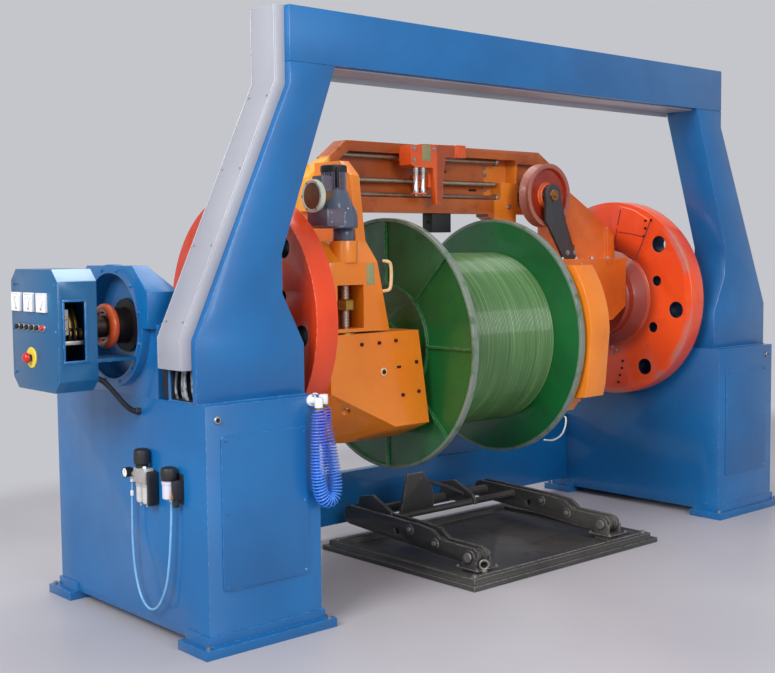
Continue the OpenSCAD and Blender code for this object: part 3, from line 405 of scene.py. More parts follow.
def dressed(node, material, round_off, segments=2):
    """A copy of a CAD node with its welded edges rounded off, in place of the node."""
    piece = frame["nodes"][node].copy()
    piece.data = frame["nodes"][node].data.copy()
    piece.name = node + "_skin"
    bpy.context.collection.objects.link(piece)
    piece.parent = None
    piece.matrix_world = Matrix.Identity(4)
    pick(piece)
    bpy.ops.object.mode_set(mode="EDIT")
    bpy.ops.mesh.select_all(action="SELECT")
    bpy.ops.mesh.remove_doubles(threshold=0.00002)
    if node == "left_leg":
        # Larger faces would close the cable window in its foot.
        bpy.ops.mesh.tris_convert_to_quads(face_threshold=0.01, shape_threshold=math.pi)
    else:
        bpy.ops.mesh.dissolve_limited(angle_limit=math.radians(1.0))
    bpy.ops.object.mode_set(mode="OBJECT")
    for attribute in [a for a in piece.data.attributes if a.name == "custom_normal"]:
        piece.data.attributes.remove(attribute)
    if round_off:
        bevel = piece.modifiers.new("round_off", "BEVEL")
        bevel.width = round_off
        bevel.segments = segments
        bevel.limit_method = "ANGLE"
        bevel.angle_limit = math.radians(sharp_edge)
        bevel.use_clamp_overlap = True
        bpy.ops.object.modifier_apply(modifier=bevel.name)
    return finish(piece, material, body_of(node), (node,))


def sprayed(name, colour, shade, wear_colour, wear=0.0, grime=0.0, rough=0.3, gloss=0.5, edge=0.004,
        zones=()):
    """Sprayed enamel: cloudy colour, a fine orange-peel skin, worn edges and some grime.

    A zone is a function of the paint that gives a mask and the colour there: bare metal, other paint, painted
    shade or a painted highlight.
    """
    paint = Paint(name)
    cloud = paint.noise(2.2, 5.0)
    patch = paint.noise(14.0, 4.0)
    base = paint.mix(cloud.above(0.32, 0.68), colour, shade)
    base = paint.mix(0.22 * patch.above(0.45, 0.75), base, shade)
    roughness = rough + 0.14 * patch
    if grime:
        dirt = paint.noise(7.0, 8.0, roughness=0.7).above(0.52, 0.74)
        base = paint.mix(grime * dirt, base, tuple(0.25 * c for c in shade))
        roughness = roughness + 0.25 * dirt
    for zone in zones:
        mask, tone = zone(paint)
        base = paint.mix(mask, base, tone)
        roughness = roughness + 0.1 * mask
    if wear:
        chip = paint.edge(edge) * paint.noise(55.0, 5.0).above(0.62 - 0.35 * wear, 0.72 - 0.2 * wear)
        base = paint.mix(chip, base, wear_colour)
        roughness = roughness + 0.15 * chip
    skin = paint.bump(paint.noise(420.0, 2.0), 0.0004, 0.22)
    wave = paint.bump(paint.noise(3.4, 2.0), 0.02, 0.10, skin)
    paint.set(Base_Color=base, Roughness=roughness, Coat_Weight=gloss * (1.0 - 0.4 * patch), Normal=wave)
    paint.shader.inputs["Coat Roughness"].default_value = 0.12
    return paint.material


blue = sprayed("blue_enamel", rgb(12, 103, 166), rgb(10, 92, 152), rgb(120, 185, 232), wear=0.4)
for node in ("left_pedestal", "right_pedestal", "pedestal_covers", "left_leg", "right_leg",
        "portal_beam", "left_bearing_bracket", "right_bearing_bracket", "tie_beam"):
    dressed(node, blue, 0.004 if node != "pedestal_covers" else 0.0025)
upward = (0, 0, 1)
frontward = (0, -1, 0)


def bolt_heads(name, places, facing, radius, material, body, washer=1.45):
    """Hexagon heads on washers, at points of a face, all looking the same way."""
    thick = 0.22 * radius
    bpy.ops.object.select_all(action="DESELECT")
    bpy.ops.mesh.primitive_cylinder_add(vertices=6, radius=radius, depth=0.75 * radius,
        location=(0, 0, thick + 0.375 * radius))
    head = bpy.context.object
    bpy.ops.object.transform_apply(location=True)
    for face in head.data.polygons:
        face.select = face.normal.z > 0.9
    bpy.ops.object.mode_set(mode="EDIT")
    bpy.ops.mesh.select_mode(type="FACE")
    bpy.ops.mesh.inset(thickness=0.16 * radius)
    bpy.ops.transform.translate(value=(0, 0, 0.08 * radius))
    bpy.ops.object.mode_set(mode="OBJECT")
    bpy.ops.mesh.primitive_cylinder_add(vertices=18, radius=washer * radius, depth=thick,
        location=(0, 0, thick / 2))
    plate = bpy.context.object
    bpy.ops.object.transform_apply(location=True)
    head = joined(name + "_pattern", [head, plate])
    copies = []
    for number, place in enumerate(places):
        copy = head.copy()
        copy.data = head.data.copy()
        bpy.context.collection.objects.link(copy)
        spin = Matrix.Rotation(math.radians(23 * number), 4, "Z")
        copy.matrix_world = Matrix.Translation(place) @ aimed(facing) @ spin
        copies.append(copy)
    bpy.data.objects.remove(head)
    return finish(joined(name, copies), material, body, smooth=30)


def turned(name, outline, place, axis, material, body, steps=48, stands_for=(), smooth=35):
    """A piece turned on a lathe: a closed outline of (radius, distance along the axis) points."""
    bpy.ops.object.select_all(action="DESELECT")
    bpy.ops.mesh.primitive_circle_add(vertices=len(outline), radius=1)
    piece = bpy.context.object
    piece.name = name
    for vertex, (radius, along) in zip(piece.data.vertices, outline):
        vertex.co = (radius, 0, along)
    bpy.ops.object.mode_set(mode="EDIT")
    bpy.ops.mesh.select_all(action="SELECT")
    bpy.ops.mesh.spin(steps=steps, angle=2 * math.pi, center=(0, 0, 0), axis=(0, 0, 1))
    bpy.ops.mesh.select_all(action="SELECT")
    bpy.ops.mesh.remove_doubles(threshold=0.00001)
    bpy.ops.mesh.delete_loose()
    bpy.ops.mesh.select_all(action="SELECT")
    bpy.ops.mesh.normals_make_consistent(inside=False)
    bpy.ops.object.mode_set(mode="OBJECT")
    piece.matrix_world = Matrix.Translation(place) @ aimed(axis)
    return finish(piece, material, body, stands_for, smooth)


def bead(name, corners, radius, material, body, stands_for=(), smooth=35, sides=1):
    """A weld bead, or a fixed rod or tube, along a line of corners."""
    pick(round_cord(name, corners, 2 * radius, material, sides))
    bpy.ops.object.convert(target="MESH")
    return finish(bpy.context.object, material, body, stands_for, smooth)


def plain_finish(name, dark, light, rough, spread=0.0, grain=60.0, detail=3.0, stretch=(1, 1, 1), film=None,
        **more):
    """Two near tones in a fine cloud. The cloud, or a film of its own grain, spreads the roughness."""
    paint = Paint(name)
    cloud = paint.noise(grain, detail, stretch)
    haze = cloud if film is None else paint.noise(film)
    matt = rough + spread * haze if spread else rough
    return paint.set(Base_Color=paint.mix(cloud, rgb(*dark), rgb(*light)), Roughness=matt, **more)


left_low, left_high = at("left_pedestal")
foot_reach = 0.0225
foot_plate_top = 0.0385
zinc = plain_finish("zinc_plate", (150, 150, 152), (198, 198, 196), 0.34, 0.2, detail=4.0, Metallic=1.0)
anchors = []
for side in (-1, 1):
    for x in (left_low.x + foot_reach, left_high.x - foot_reach):
        for y in (left_low.y + foot_reach, left_high.y - foot_reach):
            anchors.append((-side * x, y, foot_plate_top))
bolt_heads("anchor_nuts", anchors, upward, 0.0112, zinc, "frame", 1.05)

cover_low, cover_high = at("pedestal_covers")
cover_edge = 0.018
cover_inner = -1.515
cover_middle = (cover_low.z + cover_high.z) / 2
cover_screws = [(side * x, cover_low.y, z) for side in (-1, 1)
    for x in (-cover_low.x - cover_edge, -cover_inner + cover_edge)
    for z in (cover_low.z + cover_edge, cover_middle, cover_high.z - cover_edge)]
bolt_heads("cover_screws", cover_screws, frontward, 0.0048, blue, "frame", 1.3)

lock_radius = 0.015
lock_height = 0.914
lock_out = 1.9475
both_sides = ((-1, "left"), (1, "right"))
pedestal_front = -0.640
black = plain_finish("black_plastic", (24, 24, 27), (38, 38, 42), 0.42, 0.2, grain=90.0, film=200.0)
for side, name in both_sides:
    place = (side * lock_out, pedestal_front, lock_height)
    turned(name + "_lock_ring", [(0.6 * lock_radius, 0), (lock_radius, 0),
        (lock_radius, 0.005), (0.85 * lock_radius, 0.008), (0.6 * lock_radius, 0.008)],
        place, frontward, zinc, "frame", 28)
    turned(name + "_lock_core", [(0, 0), (0.6 * lock_radius, 0), (0.6 * lock_radius, 0.004),
        (0.25 * lock_radius, 0.005), (0.2 * lock_radius, 0.010), (0, 0.010)], place, frontward, black,
        "frame", 20)

# The legs are welded all round to the pedestals' top plates.
leg_low, leg_high = at("left_leg")
leg_heel = 1.478
for side, name in both_sides:
    loop = [(side * x, y, leg_low.z) for x, y in ((-leg_low.x, leg_low.y), (leg_heel, leg_low.y),
        (leg_heel, leg_high.y), (-leg_low.x, leg_high.y))]
    bead(name + "_leg_weld", loop, 0.0045, blue, "frame")


# Cable duct
# Folded light-grey sheet with a clip-on lid, down the left leg's outer edge and on to the beam's end.
# It stops above the window in the leg's foot, where its cables drop into the pedestal.
def block(name, low, high, material, body, round_off=0.002, stands_for=()):
    """A plate or block between two corners with rounded edges."""
    low = Vector(low)
    high = Vector(high)
    bpy.ops.object.select_all(action="DESELECT")
    bpy.ops.mesh.primitive_cube_add(size=1, location=(low + high) / 2)
    piece = bpy.context.object
    piece.name = name
    piece.scale = high - low
    bpy.ops.object.transform_apply(location=True, scale=True)
    bpy.ops.object.mode_set(mode="EDIT")
    bpy.ops.mesh.select_all(action="SELECT")
    bpy.ops.mesh.bevel(offset=round_off, segments=2, affect="EDGES")
    bpy.ops.object.mode_set(mode="OBJECT")
    return finish(piece, material, body, stands_for)


duct_grey = sprayed("duct_enamel", rgb(168, 170, 179), rgb(160, 161, 171), rgb(120, 120, 125),
    wear=0.25, rough=0.38, gloss=0.25)
dressed("cable_duct", duct_grey, 0.0025)
duct_low = at("cable_duct")[0]
duct_back = -0.376
lid_lap = 0.010
shoulder = Vector((-1.575, 2.2415))
knee = Vector((-2.045, 1.2273))
duct_face = [(shoulder.x, 2.545), (shoulder.x, 2.30), shoulder, knee, (knee.x, 1.108)]
for y, name in ((duct_low.y + lid_lap, "front"), (duct_back - lid_lap, "back")):
    run = [(x - 0.001, y, z) for x, z in duct_face]
    bead("duct_lid_" + name, run, 0.0035, duct_grey, "frame")
lid_screws = []
slope = knee - shoulder
screw_inset = 0.028
for share in (0.06, 0.35, 0.65, 0.94):
    spot = shoulder + slope * share
    for y in (duct_low.y + screw_inset, duct_back - screw_inset):
        lid_screws.append((spot.x, y, spot.y))
lid_facing = Vector((slope.y, 0, -slope.x)).normalized()
bolt_heads("duct_lid_screws", lid_screws, lid_facing, 0.0035, zinc, "frame", 1.2)

cable_paint = Paint("cable_sheath")
cable_stripe = cable_paint.node("ShaderNodeTexNoise", {"Vector": cable_paint.place, "Scale": 45.0})
cable_tone = cable_paint.mix(cable_stripe.above(0.4, 0.6), rgb(84, 86, 92), rgb(150, 152, 158))
cable_paint.set(Base_Color=cable_tone, Roughness=0.4 + 0.2 * cable_stripe)
window_low, window_high = at("duct_cables")
strands = []
for k in range(7):
    y = window_high.y - 0.006 - k * 0.0205
    lean = -0.028 * (0.3 + k / 6)
    x = window_low.x - 0.004 + 0.008 * ((k * 5) % 3)
    route = smooth_route([(x + 0.006, y, window_high.z), (x, y + 0.2 * lean, window_high.z - 0.04),
        (x - 0.006, y + 0.7 * lean, window_low.z + 0.04),
        (x, max(y + lean, window_low.y + 0.006), window_low.z)], 6)
    strands.append(round_cord(f"duct_cable_{k + 1}", route, 0.011 + 0.003 * (k % 2),
        cable_paint.material, 2))
pick(*strands)
bpy.ops.object.convert(target="MESH")
finish(joined("duct_cable_1", strands), cable_paint.material, "frame", ("duct_cables",), 60)
# Thin dark plates line the pocket behind the window, and the gap beside the leg, as painted shade.
painted_shade_black = plain_finish("window_shade", (12, 20, 34), (20, 30, 46), 0.8, grain=12.0)
pit_left = -1.994
pit_right = -1.918
pit_front = -0.553
pit_back = -0.395
for name, low, high in (("back", (pit_right, pit_front), (pit_right + 0.004, pit_back + 0.003)),
        ("side", (pit_left, pit_back), (pit_right, pit_back + 0.003)),
        ("floor", (pit_left, pit_front), (pit_right, pit_back))):
    height = 0.0025 if name == "floor" else window_high.z - window_low.z
    block("window_" + name, (*low, window_low.z), (*high, window_low.z + height), painted_shade_black,
        "frame", 0.0005)
block("leg_gap_shade", (-1.992, -0.373, window_low.z), (-1.985, -0.321, window_high.z), painted_shade_black,
    "frame", 0.0005)


# Bearing housings
# Split cast housings bolted through their flanges, with a round cover ring on the outer side that
# holds the seal. A grease nipple stands on each cap.
axis_z = 1.255
ring_face = 2.040
ring_bolt_circle = 0.237
flange_half = 0.013


def circle(radius, angles):
    """Pairs of coordinates round a circle's centre, at angles in degrees."""
    return [(radius * math.cos(math.radians(a)), radius * math.sin(math.radians(a))) for a in angles]


for side, name in both_sides:
    ring_bolts = [(side * ring_face, y, axis_z + z) for z, y in circle(ring_bolt_circle, range(15, 375, 30))]
    bolt_heads(name + "_ring_bolts", ring_bolts, (side, 0, 0), 0.0065, blue, "frame", 1.15)
    split_bolts = [(side * x, y, axis_z + flange_half) for x in (1.918, 1.976) for y in (-0.3085, 0.3085)]
    bolt_heads(name + "_split_bolts", split_bolts, upward, 0.0078, zinc, "frame", 1.1)
    turned(name + "_grease_nipple", [(0, 0), (0.008, 0), (0.008, 0.006), (0.005, 0.008), (0.005, 0.014),
        (0.0065, 0.016), (0.0065, 0.019), (0.003, 0.023), (0, 0.023)],
        (side * 1.955, 0.190, axis_z - flange_half), upward, blue, "frame", 20)
    turned(name + "_seal_lip", [(0.077, 0), (0.110, 0), (0.112, 0.004), (0.110, 0.012), (0.098, 0.016),
        (0.077, 0.016)], (side * 1.960, 0, axis_z), (side, 0, 0), black, "frame", 48)


# Slip-ring box
# A folded eight-sided steel case on a shelf off the bearing. Its front carries three panel meters, a
# row of lit buttons and the stop button, and a framed window in its side gives access to the brushes.
box_low = Vector((-2.376, -0.205, 1.013))
box_high = Vector((-2.208, 0.205, 1.497))
window_left = -2.3487
window_right = -2.2637
window_foot = 1.140
window_top = 1.370
chamfer_line = box_high.z - box_low.y - 0.046
leftward = (-1, 0, 0)
downward = (0, 0, -1)


def corner_painted_highlight(paint):
    """A painted highlight along the edge of the sloping top corner."""
    slope = (paint.along("Z") - paint.along("Y")).above(chamfer_line - 0.004, chamfer_line - 0.001)
    return 0.62 * slope, rgb(186, 216, 236)


# The box's enamel carries a painted highlight along its sloping top corner.
box_blue = sprayed("box_blue_enamel", rgb(12, 92, 140), rgb(10, 84, 130), rgb(120, 185, 232), wear=0.4,
    zones=(corner_painted_highlight,))
dressed("slip_ring_box", box_blue, 0.004)
frame_width = 0.009
frame_proud = 0.004
frame_left = window_left - frame_width
frame_right = window_right + frame_width
for name, left, right, foot, top in (
        ("top", frame_left, frame_right, window_top, window_top + frame_width),
        ("foot", frame_left, frame_right, window_foot - frame_width, window_foot),
        ("left", frame_left, window_left, window_foot, window_top),
        ("right", window_right, frame_right, window_foot, window_top)):
    block("window_frame_" + name, (left, box_low.y - frame_proud, foot), (right, box_low.y, top), blue,
        "frame", 0.0012)
# Dark boards inside the box are painted shade behind its window.
block("box_back_board", (box_low.x + 0.010, 0.113, 1.07), (box_high.x - 0.010, 0.117, 1.44), painted_shade_black,
    "frame", 0.0005)
block("box_board_left", (box_low.x + 0.0085, -0.19, 1.06), (box_low.x + 0.0105, 0.112, 1.45), painted_shade_black,
    "frame", 0.0004)
brass = plain_finish("brass", (150, 112, 48), (214, 176, 92), 0.28, 0.25, grain=50.0, detail=4.0,
    Metallic=1.0)
brush_pitch = 0.0235
for k in range(5):
    x = box_low.x + 0.030 + brush_pitch * k
    block(f"brush_holder_{k + 1}", (x - 0.006, -0.150, 1.225), (x + 0.006, -0.112, 1.262), black, "frame",
        0.0015)
    block(f"brush_lead_{k + 1}", (x - 0.003, -0.158, 1.235), (x + 0.003, -0.150, 1.252), brass,
        "frame", 0.0008)
block("brush_bar", (box_low.x + 0.012, -0.176, 1.20), (box_high.x - 0.012, -0.158, 1.216), zinc,
    "frame", 0.002)
terminals = [(box_low.x + 0.034 + 0.012 * (k % 2), -0.176, 1.325 - 0.021 * k) for k in range(4)]
bolt_heads("box_terminals", terminals, frontward, 0.0055, brass, "frame", 1.5)
block("terminal_strip", (box_low.x + 0.022, -0.176, 1.24), (box_low.x + 0.058, -0.150, 1.34), duct_grey,
    "frame", 0.002)
box_screws = [(box_low.x, y, z) for y in (-0.185, 0.185) for z in (1.075, 1.255, 1.435)]
bolt_heads("box_front_screws", box_screws, leftward, 0.0042, blue, "frame", 1.2)
bolt_heads("box_foot_screw", [(box_low.x + 0.05, -0.10, box_low.z)], downward, 0.006,
    zinc, "frame", 1.5)


# Meters and buttons
# Square white panel meters with a needle over a plain scale, black lens buttons in silver rings with
# a red one at the end of the row, and a red mushroom stop on a yellow plate.
white = plain_finish("white_plastic", (232, 233, 236), (242, 243, 245), 0.25, 0.1, grain=30.0, film=150.0,
    Coat_Weight=0.3)
dial_white = plain_finish("dial_face", (236, 236, 234), (244, 244, 240), 0.6, grain=20.0)
ink = plain_finish("dial_ink", (112, 114, 124), (136, 138, 146), 0.5, grain=50.0)
meters_low, meters_high = at("panel_meters")
meter_side = meters_high.z - meters_low.z
meter_front = meters_low.x
meter_pitch = 0.111
meter_middle = 0.028
needle_turns = (36, 22, -14)
for k in range(3):
    y = meter_middle + meter_pitch * (k - 1)
    z = meters_low.z + meter_side / 2
    bpy.ops.object.select_all(action="DESELECT")
    bpy.ops.mesh.primitive_cube_add(size=1, location=(meter_front - 0.001, y, z))
    case = bpy.context.object
    case.name = f"meter_case_{k + 1}"
    case.scale = (0.014, meter_side, meter_side)
    bpy.ops.object.transform_apply(location=True, scale=True)
    for face in case.data.polygons:
        face.select = face.normal.x < -0.9
    bpy.ops.object.mode_set(mode="EDIT")
    bpy.ops.mesh.select_mode(type="FACE")
    bpy.ops.mesh.inset(thickness=0.007)
    bpy.ops.mesh.extrude_region_move(TRANSFORM_OT_translate={"value": (0.004, 0, 0)})
    bpy.ops.object.mode_set(mode="OBJECT")
    soften = case.modifiers.new("soften", "BEVEL")
    soften.width = 0.0015
    soften.segments = 2
    bpy.ops.object.modifier_apply(modifier="soften")
    finish(case, white, "frame", ("panel_meters",) if k == 0 else ())
    dial = meter_front - 0.0042
    half = meter_side / 2 - 0.009
    block(f"meter_dial_{k + 1}", (dial, y - half, z - half), (dial + 0.001, y + half, z + half), dial_white,
        "frame", 0.0003)
    block(f"meter_hub_{k + 1}", (dial - 0.002, y - 0.006, z - half), (dial, y + 0.006, z - half + 0.006),
        ink, "frame", 0.0008)
    scale_foot = z - half + 0.006
    marks = []
    for step in range(11):
        swing = math.radians(-50 + 10 * step)
        length = 0.007 if step % 5 == 0 else 0.0045
        bpy.ops.mesh.primitive_cube_add(size=1, location=(0, 0, 0))
        mark = bpy.context.object
        mark.matrix_world = (Matrix.Translation((dial - 0.0003, y, scale_foot))
            @ Matrix.Rotation(swing, 4, "X") @ Matrix.Translation((0, 0, 0.046 - length / 2))
            @ Matrix.Diagonal((0.0006, 0.0011, length, 1)))
        marks.append(mark)
    bpy.ops.mesh.primitive_cube_add(size=1, location=(0, 0, 0))
    needle = bpy.context.object
    needle.matrix_world = (Matrix.Translation((dial - 0.0016, y, scale_foot))
        @ Matrix.Rotation(math.radians(needle_turns[k]), 4, "X") @ Matrix.Translation((0, 0, 0.021))
        @ Matrix.Diagonal((0.0006, 0.0010, 0.042, 1)))
    marks.append(needle)
    finish(joined(f"meter_scale_{k + 1}", marks), ink, "frame")

red = plain_finish("red_plastic", (190, 22, 18), (214, 34, 26), 0.25, 0.1, grain=40.0, film=100.0,
    Coat_Weight=0.4)
yellow = plain_finish("yellow_plate", (226, 198, 60), (238, 214, 84), 0.4, 0.1, grain=40.0, film=100.0)
button_start = 0.139
button_pitch = 0.0444
button_height = 1.266
for k in range(6):
    place = (box_low.x, button_start - button_pitch * k, button_height)
    turned(f"button_ring_{k + 1}", [(0.0095, 0), (0.0155, 0), (0.0155, 0.004), (0.0135, 0.007),
        (0.0095, 0.007)], place, leftward, zinc, "frame", 28,
        ("panel_controls",) if k == 0 else ())
    turned(f"button_cap_{k + 1}", [(0, 0), (0.0098, 0), (0.0098, 0.013), (0.0085, 0.0165), (0.004, 0.018),
        (0, 0.018)], place, leftward, red if k == 5 else black, "frame",
        24)
stop_place = (box_low.x, meter_middle, 1.144)
turned("stop_plate", [(0.014, 0), (0.042, 0), (0.042, 0.004), (0.040, 0.006), (0.014, 0.006)], stop_place,
    leftward, yellow, "frame", 48)
turned("stop_stem", [(0, 0.004), (0.014, 0.004), (0.014, 0.020), (0, 0.020)], stop_place, leftward, black,
    "frame", 24)
turned("stop_mushroom", [(0, 0.018), (0.019, 0.018), (0.0215, 0.022), (0.021, 0.028), (0.017, 0.035),
    (0.010, 0.039), (0, 0.040)], stop_place, leftward, red, "frame", 40)


# Conduit
# A black corrugated plastic conduit that takes the box's leads into the pedestal. It is pushed into a
# hexagon gland at each end.
conduit_low, conduit_high = at("box_conduit")
gland_reach = 0.010
conduit_y = -0.150
drop_top = 1.059
drop = 0.150
conduit_start = conduit_low.x + gland_reach
conduit_run = conduit_high.x - conduit_low.x - 2 * gland_reach
conduit_line = []
for k in range(41):
    t = k / 40
    fall = drop * (3 * t ** 2 - 2 * t ** 3)
    conduit_line.append((conduit_start + conduit_run * t, conduit_y, drop_top - fall))
hose_black = plain_finish("black_conduit", (24, 26, 32), (44, 46, 54), 0.35, 0.2, film=120.0)
core_radius = 0.0095
bead("box_conduit_core", conduit_line, core_radius, hose_black, "frame",
    ("box_conduit",), 60, 3)
rings = []
for k in range(1, 40):
    before, place, after = (Vector(conduit_line[k + step]) for step in (-1, 0, 1))
    bpy.ops.mesh.primitive_torus_add(major_radius=core_radius, minor_radius=0.0021, major_segments=20,
        minor_segments=6, location=place,
        rotation=(after - before).to_track_quat("Z", "Y").to_euler())
    rings.append(bpy.context.object)
finish(joined("box_conduit_rings", rings), hose_black, "frame", (), 60)
for name, x, z, facing in (("box", conduit_low.x, drop_top, 1),
        ("pedestal", conduit_high.x, drop_top - drop, -1)):
    turned(name + "_gland", [(0.0135, 0), (0.0165, 0), (0.0165, 0.007), (0.0155, 0.008), (0.0155, 0.017),
        (0.0135, 0.019), (0.0115, 0.020), (0.0115, 0.002), (0.0135, 0.001)], (x, conduit_y, z),
        (facing, 0, 0), black, "frame", 6, (), 20)


# Air unit
# A filter and lubricator pair of cast zinc with two clear bowls, a black pull-up knob and a gauge, and
# next to it a pressure switch on a black bracket. Both are screwed to the pedestal's outer face.
cast = plain_finish("cast_zinc", (168, 164, 162), (214, 210, 208), 0.34, 0.2, grain=55.0, detail=4.0,
    Metallic=0.55)
bowl_clear = plain_finish("bowl_plastic", (186, 186, 184), (218, 216, 210), 0.16, 0.1, grain=40.0, film=80.0,
    Coat_Weight=0.6)
lilac = plain_finish("switch_case", (200, 196, 218), (222, 219, 236), 0.3, 0.15, grain=40.0, film=90.0)
wall_x = -2.0
unit_x = wall_x - 0.035
unit_y = -0.230
backward = (0, 1, 0)
block("air_body", (wall_x - 0.058, unit_y - 0.045, 0.628), (wall_x - 0.012, unit_y + 0.045, 0.690), cast,
    "frame", 0.006, ("air_unit",))
block("air_body_back", (wall_x - 0.013, unit_y - 0.030, 0.63), (wall_x, unit_y + 0.030, 0.68), black,
    "frame", 0.002)
for k, y in enumerate((unit_y - 0.024, unit_y + 0.024)):
    turned(f"air_bowl_collar_{k + 1}", [(0, 0), (0.0205, 0), (0.0205, 0.014), (0.018, 0.017), (0, 0.017)],
        (unit_x, y, 0.613), upward, cast, "frame", 36)
    turned(f"air_bowl_{k + 1}", [(0, 0), (0.004, 0), (0.004, 0.008), (0.010, 0.010), (0.0165, 0.016),
        (0.0185, 0.026), (0.0185, 0.082), (0, 0.082)], (unit_x, y, 0.532), upward, bowl_clear,
        "frame", 36)
turned("air_knob_collar", [(0, 0), (0.026, 0), (0.026, 0.010), (0.022, 0.014), (0, 0.014)],
    (unit_x, unit_y + 0.012, 0.689), upward, black, "frame", 36)
turned("air_knob", [(0, 0), (0.027, 0), (0.0315, 0.004), (0.0325, 0.012), (0.0325, 0.050), (0.030, 0.058),
    (0.024, 0.062), (0, 0.062)], (unit_x, unit_y + 0.012, 0.703), upward, black,
    "frame", 48)
turned("air_screw_cap", [(0, 0), (0.008, 0), (0.008, 0.006), (0.006, 0.009), (0, 0.010)],
    (unit_x - 0.012, unit_y - 0.030, 0.690), upward, white, "frame", 24)
turned("air_port", [(0, 0), (0.0125, 0), (0.0125, 0.020), (0.010, 0.022), (0.010, 0.048), (0, 0.048)],
    (unit_x, unit_y + 0.044, 0.655), backward, cast, "frame", 32)
turned("air_gauge_case", [(0, 0), (0.018, 0), (0.0205, 0.003), (0.0205, 0.024), (0.0215, 0.026),
    (0.0215, 0.031), (0.0185, 0.031), (0.0185, 0.028), (0, 0.028)], (wall_x - 0.035, -0.130, 0.660),
    leftward, black, "frame", 40)
turned("air_gauge_dial", [(0, 0), (0.0183, 0), (0.0183, 0.0015), (0, 0.0015)],
    (wall_x - 0.0632, -0.130, 0.660), leftward, dial_white, "frame", 40)
block("air_gauge_needle", (wall_x - 0.0658, -0.1308, 0.659), (wall_x - 0.0648, -0.1292, 0.673), ink,
    "frame", 0.0003)
block("air_gauge_stand", (wall_x - 0.035, -0.142, 0.645), (wall_x, -0.118, 0.674), black,
    "frame", 0.002)
turned("air_tube_elbow", [(0.0055, 0), (0.0095, 0), (0.0095, 0.010), (0.0085, 0.012), (0.0085, 0.034),
    (0, 0.036), (0, 0.012), (0.0055, 0.010)], (-2.030, -0.130, 0.618), upward, white,
    "frame", 28)
turned("air_tube_sleeve", [(0.0052, 0), (0.0075, 0), (0.0082, 0.004), (0.0082, 0.020), (0.0052, 0.022)],
    (-2.031, -0.130, 0.560), upward, white, "frame", 24)
block("air_black_side", (wall_x - 0.050, unit_y - 0.064, 0.540), (wall_x - 0.006, unit_y - 0.046, 0.680),
    black, "frame", 0.004)

switch_y = -0.432
turned("switch_case_body", [(0, 0), (0.024, 0), (0.028, 0.004), (0.028, 0.058), (0.030, 0.060),
    (0.030, 0.074), (0, 0.074)], (wall_x - 0.036, switch_y + 0.004, 0.591), upward, lilac,
    "frame", 44)
turned("switch_knob", [(0, 0), (0.030, 0), (0.0325, 0.004), (0.0325, 0.042), (0.029, 0.049), (0.018, 0.053),
    (0, 0.053)], (wall_x - 0.040, switch_y, 0.666), upward, black, "frame", 40)
block("switch_bracket", (wall_x - 0.006, -0.478, 0.570), (wall_x, -0.386, 0.690), black,
    "frame", 0.002)
block("switch_side", (wall_x - 0.052, -0.480, 0.590), (wall_x - 0.004, -0.466, 0.668), black,
    "frame", 0.003)
turned("switch_fitting", [(0, 0), (0.009, 0), (0.009, 0.016), (0.0065, 0.018), (0.0065, 0.030), (0, 0.030)],
    (wall_x - 0.048, -0.470, 0.596), upward, brass, "frame", 6, (), 20)
turned("switch_port", [(0.0055, 0), (0.0095, 0), (0.0095, 0.010), (0.0055, 0.010)], (-2.030, -0.432, 0.581),
    upward, white, "frame", 24)
block("switch_drain", (wall_x - 0.040, -0.474, 0.560), (wall_x - 0.018, -0.452, 0.592), black,
    "frame", 0.004)


# Hose couplings
# White elbows with a brass nut and a wall flange, one on the pedestal's front and one on its inner
# face, that the spiral hose is pushed on to.
dressed("hose_coupling", white, 0.003)
nozzle_z = 0.925
for k, place in enumerate((hose_path[0], hose_path[-1])):
    turned(f"hose_nut_{k + 1}", [(0.0095, 0), (0.0150, 0), (0.0165, 0.003), (0.0165, 0.012),
        (0.015, 0.014), (0.0095, 0.014)], (place[0], place[1], nozzle_z - 0.013), upward, brass,
        "frame", 6, (), 20)
turned("hose_flange_screw", [(0, 0), (0.006, 0), (0.006, 0.003), (0.004, 0.004), (0, 0.004)],
    (-1.490, -0.650, 0.967), frontward, zinc, "frame", 20)


